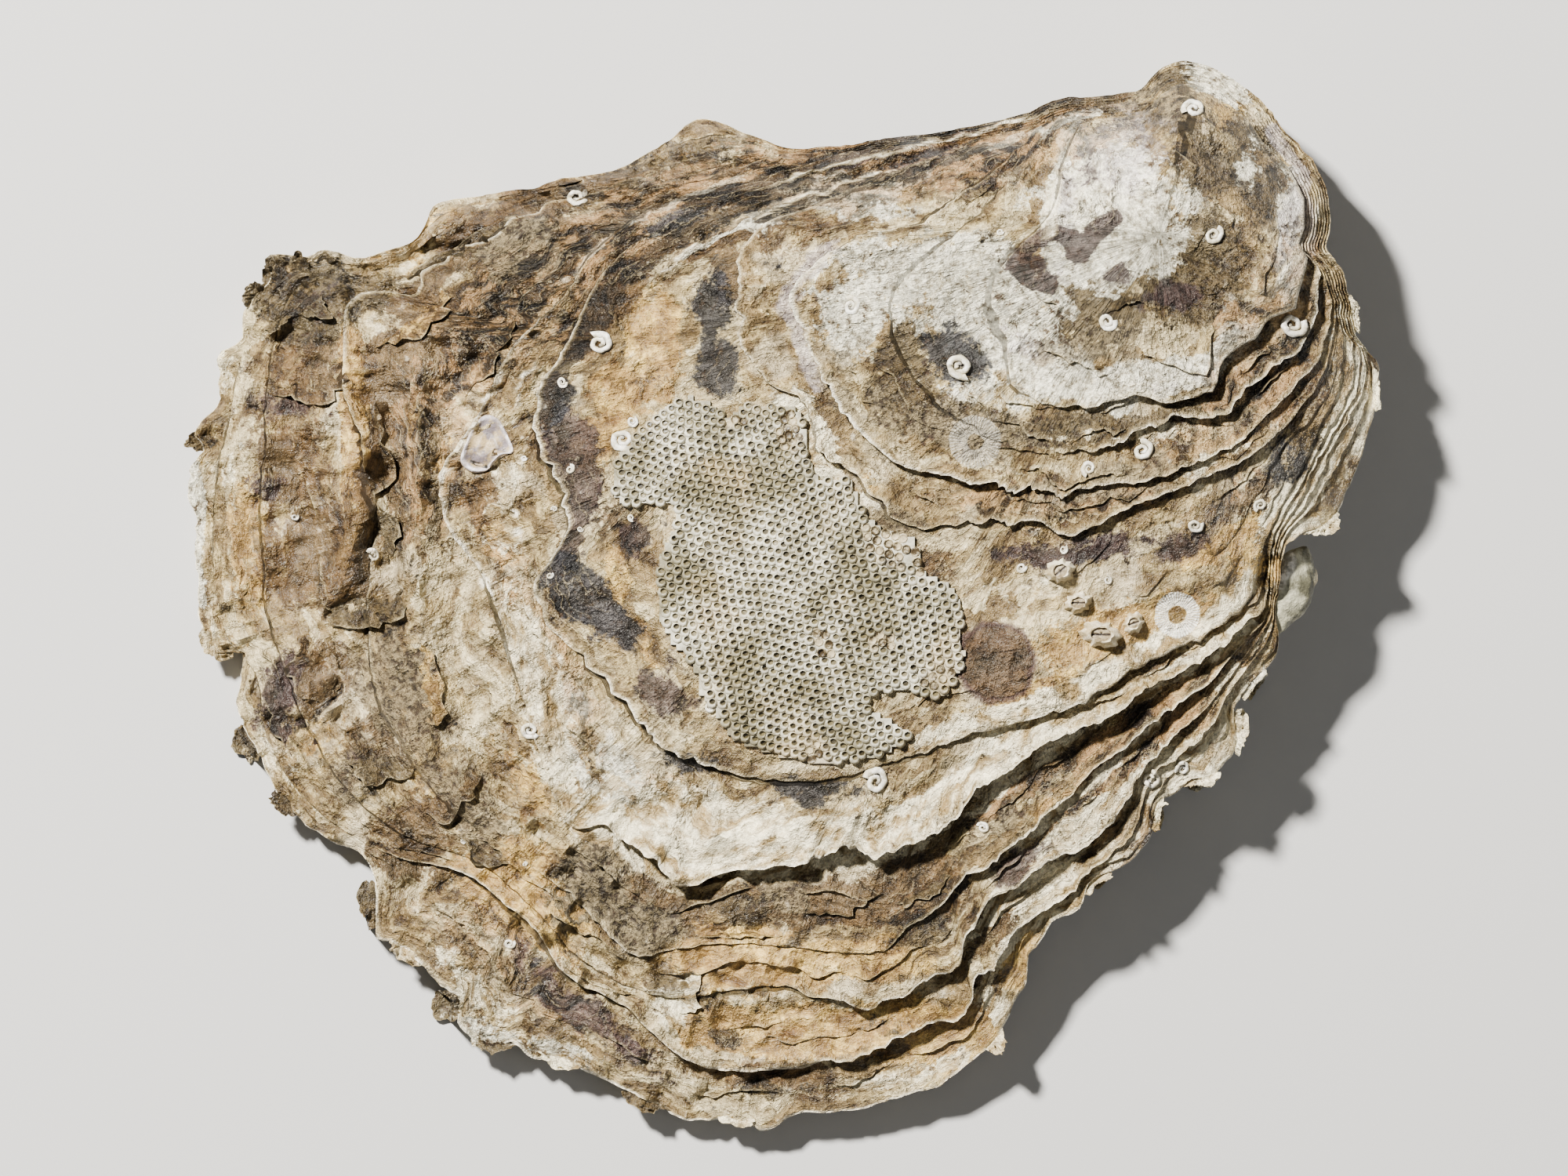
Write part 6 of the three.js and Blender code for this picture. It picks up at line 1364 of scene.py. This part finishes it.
for number, (x, y) in enumerate(chambers):
    hurt = 0
    for bx, by, half_long, half_wide, turn in BROKEN:
        hurt = max(hurt, 1.6 - from_patch(x - bx, y - by, half_long, half_wide, turn))
    lost = math.hypot(x - LOST_FRONT[0], y - LOST_FRONT[1]) < pitch / 2
    profile = OPEN if hurt > 0.6 or lost else WHOLE
    facing = math.radians(70) + 0.6 * noise.noise(Vector((x / 9, y / 9, 4)))
    bulge = 0.85 + 0.4 * noise.noise(Vector((x, y, 60))) + 0.1 * math.sin(number * 2.4)
    # How dark the painted shade in the hole is
    dark = 0.8 + 0.45 * noise.noise(Vector((x * 2.3, y * 2.3, 30)))
    if hurt > 0.6:
        bulge = 1 + 1.6 * noise.noise(Vector((x * 1.7, y * 1.7, 90)))
    start = len(crust_mesh.verts)
    crust_mesh.from_mesh(pattern)
    crust_mesh.verts.ensure_lookup_table()
    for k, (radius, high, moved, pore) in enumerate(profile + [(0, *profile[-1][1:])]):
        px = x + radius * np.cos(around) + moved * math.cos(facing)
        py = y + radius * np.sin(around) + moved * math.sin(facing)
        pz = sheet_height(px, py) + high * bulge
        for i in range(CORNERS + 1):
            vert = crust_mesh.verts[start + k * (CORNERS + 1) + i]
            vert.co = (px[i], py[i], pz[i])
            vert[pore_layer] = pore * dark if pore > 0 else pore
            vert[crumbly_layer] = min(1, max(0, hurt))
crust = object_from(crust_mesh, "chamber_crust", sharp=60)

crust_paint, g, shader = finish_material("moss_animal_lime")
place = g.mm()
grain = use(g, grain_tree, {"Place": place, "Size": 0.8})
pore, crumbly = g.attribute("pore"), g.attribute("crumbly")
tone = g.mix(g.ramp(g.noise(place, 0.22, 5), 0.4, 0.62), colour("#7f7963"), colour("#cac6b5"))
tone = g.tint(tone, g.ramp(g.noise(place, 0.12, 3), 0.5, 0.66, 0, 0.6), "#b39f7a")
# Painted shade in the seams between the chambers
tone = g.tint(tone, g.ramp(pore, -0.2, -0.95, 0, 0.5), "#7d7255")
tone = g.tint(tone, g.ramp(pore, 0.15, 0.6, 0, 0.85), "#6a5f3c")
# Painted shade deep in each hole
tone = g.tint(tone, g.ramp(pore, 0.6, 1, 0, 0.85), "#1c160a")
rubble = g.mix(g.ramp(g.noise(place, 0.9, 5, 0.7), 0.42, 0.58), colour("#3a2e1b"), colour("#b5a787"))
tone = g.mix(g.ramp(crumbly, 0.35, 0.7), tone, rubble)
g.end(shader, tone, grain, 0.42, g.times(grain["Height"], 0.5))
crust.data.materials.append(crust_paint)
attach(crust, "root")
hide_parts("bryozoan_crust")

# The barnacles
# Four small acorn barnacles low on the right. Each is a ring of grown lime plates round an opening that
# two pairs of lid plates close along a slit.
# x, y, length, width, height in mm, turn in degrees
BARNACLES = [(24.3, 1.5, 2.4, 2.2, 1.1, 40), (25.9, -1.3, 2.4, 1.8, 1, 0), (27.9, -4.1, 3.4, 2.4, 1.3, 0),
             (30.8, -3.1, 2, 1.7, 0.9, 20)]
# Radius and height as shares, how far it is plate, lid or slit
WALL_RINGS = [
    (1.04, -0.25, 0), (1, 0.02, 0), (0.9, 0.32, 0), (0.76, 0.68, 0), (0.64, 0.93, 0), (0.58, 1, 0.1),
    (0.53, 0.96, 0.6), (0.49, 0.72, 1), (0.4, 0.74, 1), (0.22, 0.8, 1), (0, 0.82, 1),
]
BARNACLE_CORNERS = 36

barnacle_paint, g, shader = finish_material("barnacle_lime")
place = g.mm()
grain = use(g, grain_tree, {"Place": place, "Size": 0.5})
lid = g.attribute("lid")
tone = g.mix(g.ramp(g.noise(place, 0.8, 3), 0.4, 0.6), colour("#ab9a76"), colour("#eadfc4"))
tone = g.tint(tone, g.ramp(lid, 0.3, 0.8, 0, 0.8), "#8d7d62")
# Painted shade in the slit between the lid plates
tone = g.tint(tone, g.ramp(lid, 1.2, 1.8), "#2e2520")
g.end(shader, tone, grain, 0.55, grain["Height"])

for number, (x, y, length, width, high, turn) in enumerate(BARNACLES, 1):
    mesh = bmesh.new()
    lid_layer = mesh.verts.layers.float.new("lid")
    foot = min(surface(x + dx, y + dy)[0]
               for dx in (-length / 3, 0, length / 3) for dy in (-width / 3, 0, width / 3))
    crown = surface(x, y)[0] + high
    c, s = math.cos(math.radians(turn)), math.sin(math.radians(turn))
    rings, marks = [], []
    for radius, share, part in WALL_RINGS:
        ring, mark = [], []
        for k in range(BARNACLE_CORNERS):
            a = 2 * math.pi * k / BARNACLE_CORNERS
            rib = (0.16 * abs(math.cos(3 * a + number)) - 0.1
                   + 0.09 * math.sin(10 * a + number) * min(1, 1.4 - share))
            plates = 1 + (rib + 0.12 * math.sin(a * 2 + 3 * number)) * (part < 0.5)
            px, py = radius * plates * length / 2 * math.cos(a), radius * plates * width / 2 * math.sin(a)
            slit = math.exp(-(py / (0.05 * width)) ** 2) if part == 1 else 0
            ridge = 0.1 * high * (1 - abs(py) / (0.3 * width)) if part == 1 else 0
            gx, gy = x + px * c - py * s, y + px * s + py * c
            base = surface(gx, gy)[0]
            top = crown + 0.06 * high * math.sin(2 * a + number)
            z = base - 0.25 if share < 0 else base + (top - base) * share
            ring.append((gx, gy, z + ridge - 0.16 * high * slit))
            mark.append(part + slit)
        rings.append(ring)
        marks.append(mark)
    rings.insert(0, [(x, y, foot - 0.25)] * BARNACLE_CORNERS)
    marks.insert(0, [0] * BARNACLE_CORNERS)
    for vert, j, i in skin(mesh, rings):
        vert[lid_layer] = marks[j][i]
    piece = object_from(mesh, f"acorn_barnacle_{number}")
    piece.data.materials.append(barnacle_paint)
    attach(piece, "root")
    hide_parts(f"barnacle_{number}")

# The worm tubes
# Small white lime tubes that worms laid down in flat coils, cemented to the valve. Each ends in an open
# mouth. The larger ones stand for their CAD nodes, and the small ones are only here.
# x, y, width over the coil in mm, turn in degrees, how far it is worn down
COILS = [(36.1, 42.2, 2.2, 200, 0), (37.7, 31, 2, 60, 0), (44.8, 23.2, 2.8, 20, 0), (31.5, 12.1, 2.2, 100, 0),
         (26.8, 10.5, 1.6, 250, 0), (15.5, 19.5, 2.8, 300, 0), (-16.3, 21.6, 2.6, 130, 0),
         (-18.4, 34.7, 2.2, 40, 0), (-22.5, -12.6, 2, 330, 0), (8.1, -17.1, 2.8, 160, 0),
         (32.4, -16.9, 2, 80, 0), (35.3, -16, 1.6, 210, 0), (36.2, 5.5, 1.6, 20, 0)]
SMALL_COILS = [
    (28.4, 23.4, 2, 10, 0.6), (5.9, 24.8, 2, 120, 0.6), (-13.4, 14.7, 1.3, 60, 0),
    (-14.2, 13.1, 2.5, 300, 0.6), (-19.6, 18.2, 1.2, 0, 0), (-18.9, 10.5, 1, 90, 0),
    (-43.5, 6.3, 0.8, 40, 0), (-36.5, 2.9, 1.4, 150, 0), (-23, 11.5, 0.7, 0, 0), (-20.7, 1.1, 0.8, 50, 0),
    (-20.3, 7, 0.7, 200, 0), (-18, 5.2, 0.7, 10, 0), (-13.5, 6.2, 0.8, 300, 0), (-10.4, -2.8, 1.4, 70, 0.3),
    (-6.5, -10.4, 1.4, 0, 0), (-28.5, -22.5, 0.6, 0, 0), (-23, -24.5, 0.6, 90, 0),
    (-24.4, -31.6, 1.2, 30, 0), (17.6, -21.2, 1.3, 160, 0), (24.6, 3.4, 1, 60, 0),
    (20.9, 1.8, 1.2, 20, 0.4), (28.5, 0.7, 1, 100, 0), (42, 7.3, 1.4, 240, 0), (19, 31.3, 0.8, 0, 0.2),
    (23.6, 36.2, 0.9, 40, 0.2), (25, 37.3, 0.8, 80, 0.2),
]
TUBE_CORNERS = 10

coil_paint, g, shader = finish_material("worm_tube_lime")
place = g.mm()
grain = use(g, grain_tree, {"Place": place, "Size": 0.4})
tone = g.mix(g.ramp(g.noise(place, 1.2, 3), 0.4, 0.65), colour("#c9c0a8"), colour("#f6f3ec"))
# Painted shade in the open mouth, in the middle of the coil and along the tube's foot
tone = g.tint(tone, g.attribute("painted_tube_shade"), "#2c2213")
g.end(shader, tone, grain, 0.45, g.times(grain["Height"], 0.6))


def coil(mesh, tube_shade_layer, x, y, width, turn, worn, steps):
    """A tube of growing width wound flat round a point on the valve."""
    turns = 1.75
    thick = width * 0.125
    around_tube = np.arange(TUBE_CORNERS) * 2 * math.pi / TUBE_CORNERS
    rings, marks = [], []
    for k in range(steps + 1):
        t = k / steps
        a = math.radians(turn) + 2 * math.pi * turns * (t - 1)
        tube = thick * (0.45 + 0.55 * t) * (0.3 if k == 0 else 1)
        sway = 1 + 0.1 * math.sin(2 * a + 3 * x) + 0.05 * math.sin(5 * a + y)
        reach = (width / 2 * (0.36 + 0.64 * t**1.1) - thick) * sway
        centre = np.array([x + reach * math.cos(a), y + reach * math.sin(a)])
        out = np.array([math.cos(a), math.sin(a)])
        z = surface(*centre)[0] + tube * (0.55 - 0.8 * worn)
        lump = 1 + 0.07 * math.sin(k * 2.1 + x) + 0.3 * noise.noise(Vector((3 * t + x, y, 8)))
        rings.append([(*(centre + out * tube * lump * math.cos(b)),
                       z + tube * lump * math.sin(b) * (1 - 0.5 * worn))
                      for b in around_tube])
        # Painted shade in the coil's middle and on the lower side of the tube, where it meets the valve
        middle = max(0, 1.2 - t / 0.2)
        marks.append([min(1, max(middle, 1.3 * max(0, 0.45 - math.sin(b)))) for b in around_tube])
    ahead = np.array([-out[1], out[0]]) * thick
    for inward, deep in ((0.62, 0), (0.55, -0.5), (0, -0.5)):
        rings.append([(*(centre + out * tube * inward * math.cos(b) + ahead * deep),
                       z + tube * inward * math.sin(b))
                      for b in around_tube])
        # Painted shade inside the open mouth
        marks.append([1 if deep else 0.3] * TUBE_CORNERS)
    rings.insert(0, [tuple(np.mean(rings[0], axis=0))] * TUBE_CORNERS)
    marks.insert(0, [1] * TUBE_CORNERS)
    for vert, j, i in skin(mesh, rings):
        vert[tube_shade_layer] = marks[j][i]


for number, place in enumerate(COILS, 1):
    mesh = bmesh.new()
    coil(mesh, mesh.verts.layers.float.new("painted_tube_shade"), *place, steps=44)
    piece = object_from(mesh, f"coiled_tube_{number:02d}")
    piece.data.materials.append(coil_paint)
    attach(piece, "root")
    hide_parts(f"worm_tube_{number:02d}")
mesh = bmesh.new()
tube_shade_layer = mesh.verts.layers.float.new("painted_tube_shade")
for place in SMALL_COILS:
    coil(mesh, tube_shade_layer, *place, steps=26)
small_coils = object_from(mesh, "small_coiled_tubes")
small_coils.data.materials.append(coil_paint)
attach(small_coils, "root")

# The patch shell
# A small flat shell cemented on the left of the plateau, lavender grey with a raised white rim and a
# slit along its lower edge that is darkened with painted shade.
PATCH_LINE = [
    (-25.4, 15.1), (-24.6, 13.9), (-23.9, 12), (-24.9, 11.8), (-25.6, 11.2), (-26.4, 10.4), (-27.6, 10.3),
    (-28.6, 11.2), (-28.2, 12.8), (-27.3, 14.6), (-26.4, 15.3),
]
PATCH_CORNERS = 44
# Share of the way from the middle to the rim, height in mm, how white
PATCH_RINGS = [
    (1.03, -0.3, 0.3), (1, 0.06, 0.8), (0.96, 0.24, 1), (0.91, 0.26, 1), (0.85, 0.16, 0.5), (0.72, 0.08, 0),
    (0.52, 0.1, 0), (0.4, 0.2, 0.45), (0.28, 0.22, 0.3), (0.14, 0.14, 0), (0, 0.1, 0),
]
PATCH_SLIT = [(-27.9, 11.2), (-27.1, 10.9), (-26.3, 10.7)]
patch_rim, _ = spaced(closed_curve(PATCH_LINE, 8), PATCH_CORNERS)
patch_middle = patch_rim.mean(0)
patch_floor = surface(*patch_middle)[0]
mesh = bmesh.new()
white_layer, slit_layer = mesh.verts.layers.float.new("white"), mesh.verts.layers.float.new("slit")
rings, marks, slits = [], [], []
for share, high, white in PATCH_RINGS:
    points = patch_middle + (patch_rim - patch_middle) * share
    slit = np.exp(-(line_distance(points, PATCH_SLIT)[0] / 0.22) ** 2)
    z = [0.5 * (surface(*p)[0] + patch_floor) + high - 0.3 * d * (share < 1) for p, d in zip(points, slit)]
    rings.append([(p[0], p[1], h) for p, h in zip(points, z)])
    marks.append(white)
    slits.append(slit * (share < 1))
rings.insert(0, [(*patch_middle, patch_floor - 0.3)] * PATCH_CORNERS)
marks.insert(0, 0)
slits.insert(0, np.zeros(PATCH_CORNERS))
for vert, j, i in skin(mesh, rings):
    vert[white_layer] = marks[j]
    vert[slit_layer] = slits[j][i]
patch = object_from(mesh, "patch_valve")
patch_paint, g, shader = finish_material("patch_lime")
place = g.mm()
grain = use(g, grain_tree, {"Place": place, "Size": 0.7})
tone = g.mix(g.ramp(g.noise(place, 0.7, 5, 0.65), 0.42, 0.58), colour("#7c7276"), colour("#a8926c"))
ragged = g.ramp(g.noise(place, 0.6, 5, 0.7), 0.38, 0.55, 0.25, 1)
rim = g.times(g.ramp(g.attribute("white"), 0.2, 0.9), ragged)
tone = g.tint(tone, rim, "#e0d9df")
# Painted shade in the slit
tone = g.tint(tone, g.ramp(g.attribute("slit"), 0.4, 0.8), "#1e1a14")
g.end(shader, tone, grain, 0.5, grain["Height"])
patch.data.materials.append(patch_paint)
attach(patch, "root")
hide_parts("patch_shell")

# The spat shell
# A young shell that settled in the notch of the right margin: a dark, grey-green body with a worn white
# crown at its upper left and bits of a cream rim on its right.
SPAT_AT = (44.6, -0.1, 9.8)
SPAT_HALF = (2.3, 3.9, 2)
SPAT_TURN = math.radians(-20)
mesh = bmesh.new()
crown_layer, cream_layer = mesh.verts.layers.float.new("crown"), mesh.verts.layers.float.new("cream")
bmesh.ops.create_uvsphere(mesh, u_segments=48, v_segments=32, radius=1)
for vert in mesh.verts:
    x, y, z = vert.co
    rough = noise.fractal(Vector((x * 1.3, y * 2.2, z * 1.3 + 7)), 0.8, 2.2, 3)
    rough += 0.5 * abs(noise.noise(Vector((x * 2.6, y * 3.4, z * 2.6 + 3)))) - 0.2
    taper = 1 - 0.25 * max(0, -y) ** 1.5
    crest = math.exp(-((x + 0.42) / 0.3) ** 2) * smooth(min(1, max(0, (y + 0.2) / 0.6))) * max(0, z)
    crown = smooth(min(1, max(0, (0.1 - x - 0.6 * abs(y - 0.5) + 0.25 * rough) / 0.25)))
    vert[crown_layer] = crown * (z > 0.1) * (y > -0.1)
    cream = min(1, max(0, 6 * (x - 0.72 + 0.3 * rough)))
    vert[cream_layer] = cream * (z > -0.2) * (abs(y - 0.55) < 0.22 or abs(y + 0.6) < 0.1)
    swell = 1 + 0.14 * rough + 0.05 * vert[cream_layer]
    px, py = x * SPAT_HALF[0] * taper * swell, y * SPAT_HALF[1] * swell
    flat = z * (0.75 if z > 0 else 1) + 0.22 * crest
    c, s = math.cos(SPAT_TURN), math.sin(SPAT_TURN)
    vert.co = (SPAT_AT[0] + px * c - py * s, SPAT_AT[1] + px * s + py * c,
               SPAT_AT[2] + flat * SPAT_HALF[2] * swell)
spat = object_from(mesh, "spat_valve")
spat_paint, g, shader = finish_material("spat_lime")
place = g.mm()
grain = use(g, grain_tree, {"Place": place, "Size": 0.9})
tone = g.mix(g.ramp(g.noise(place, 0.5, 4), 0.4, 0.6), colour("#565443"), colour("#aca992"))
tone = g.mix(g.attribute("crown"), tone, g.mix(g.ramp(g.noise(place, 1.4, 3), 0.4, 0.6), colour("#96938c"),
                                               colour("#efede8")))
tone = g.tint(tone, g.attribute("cream"), "#d8c9a4")
g.end(shader, tone, grain, 0.5, g.times(grain["Height"], 1.5))
spat.data.materials.append(spat_paint)
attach(spat, "root")
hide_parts("spat_shell")
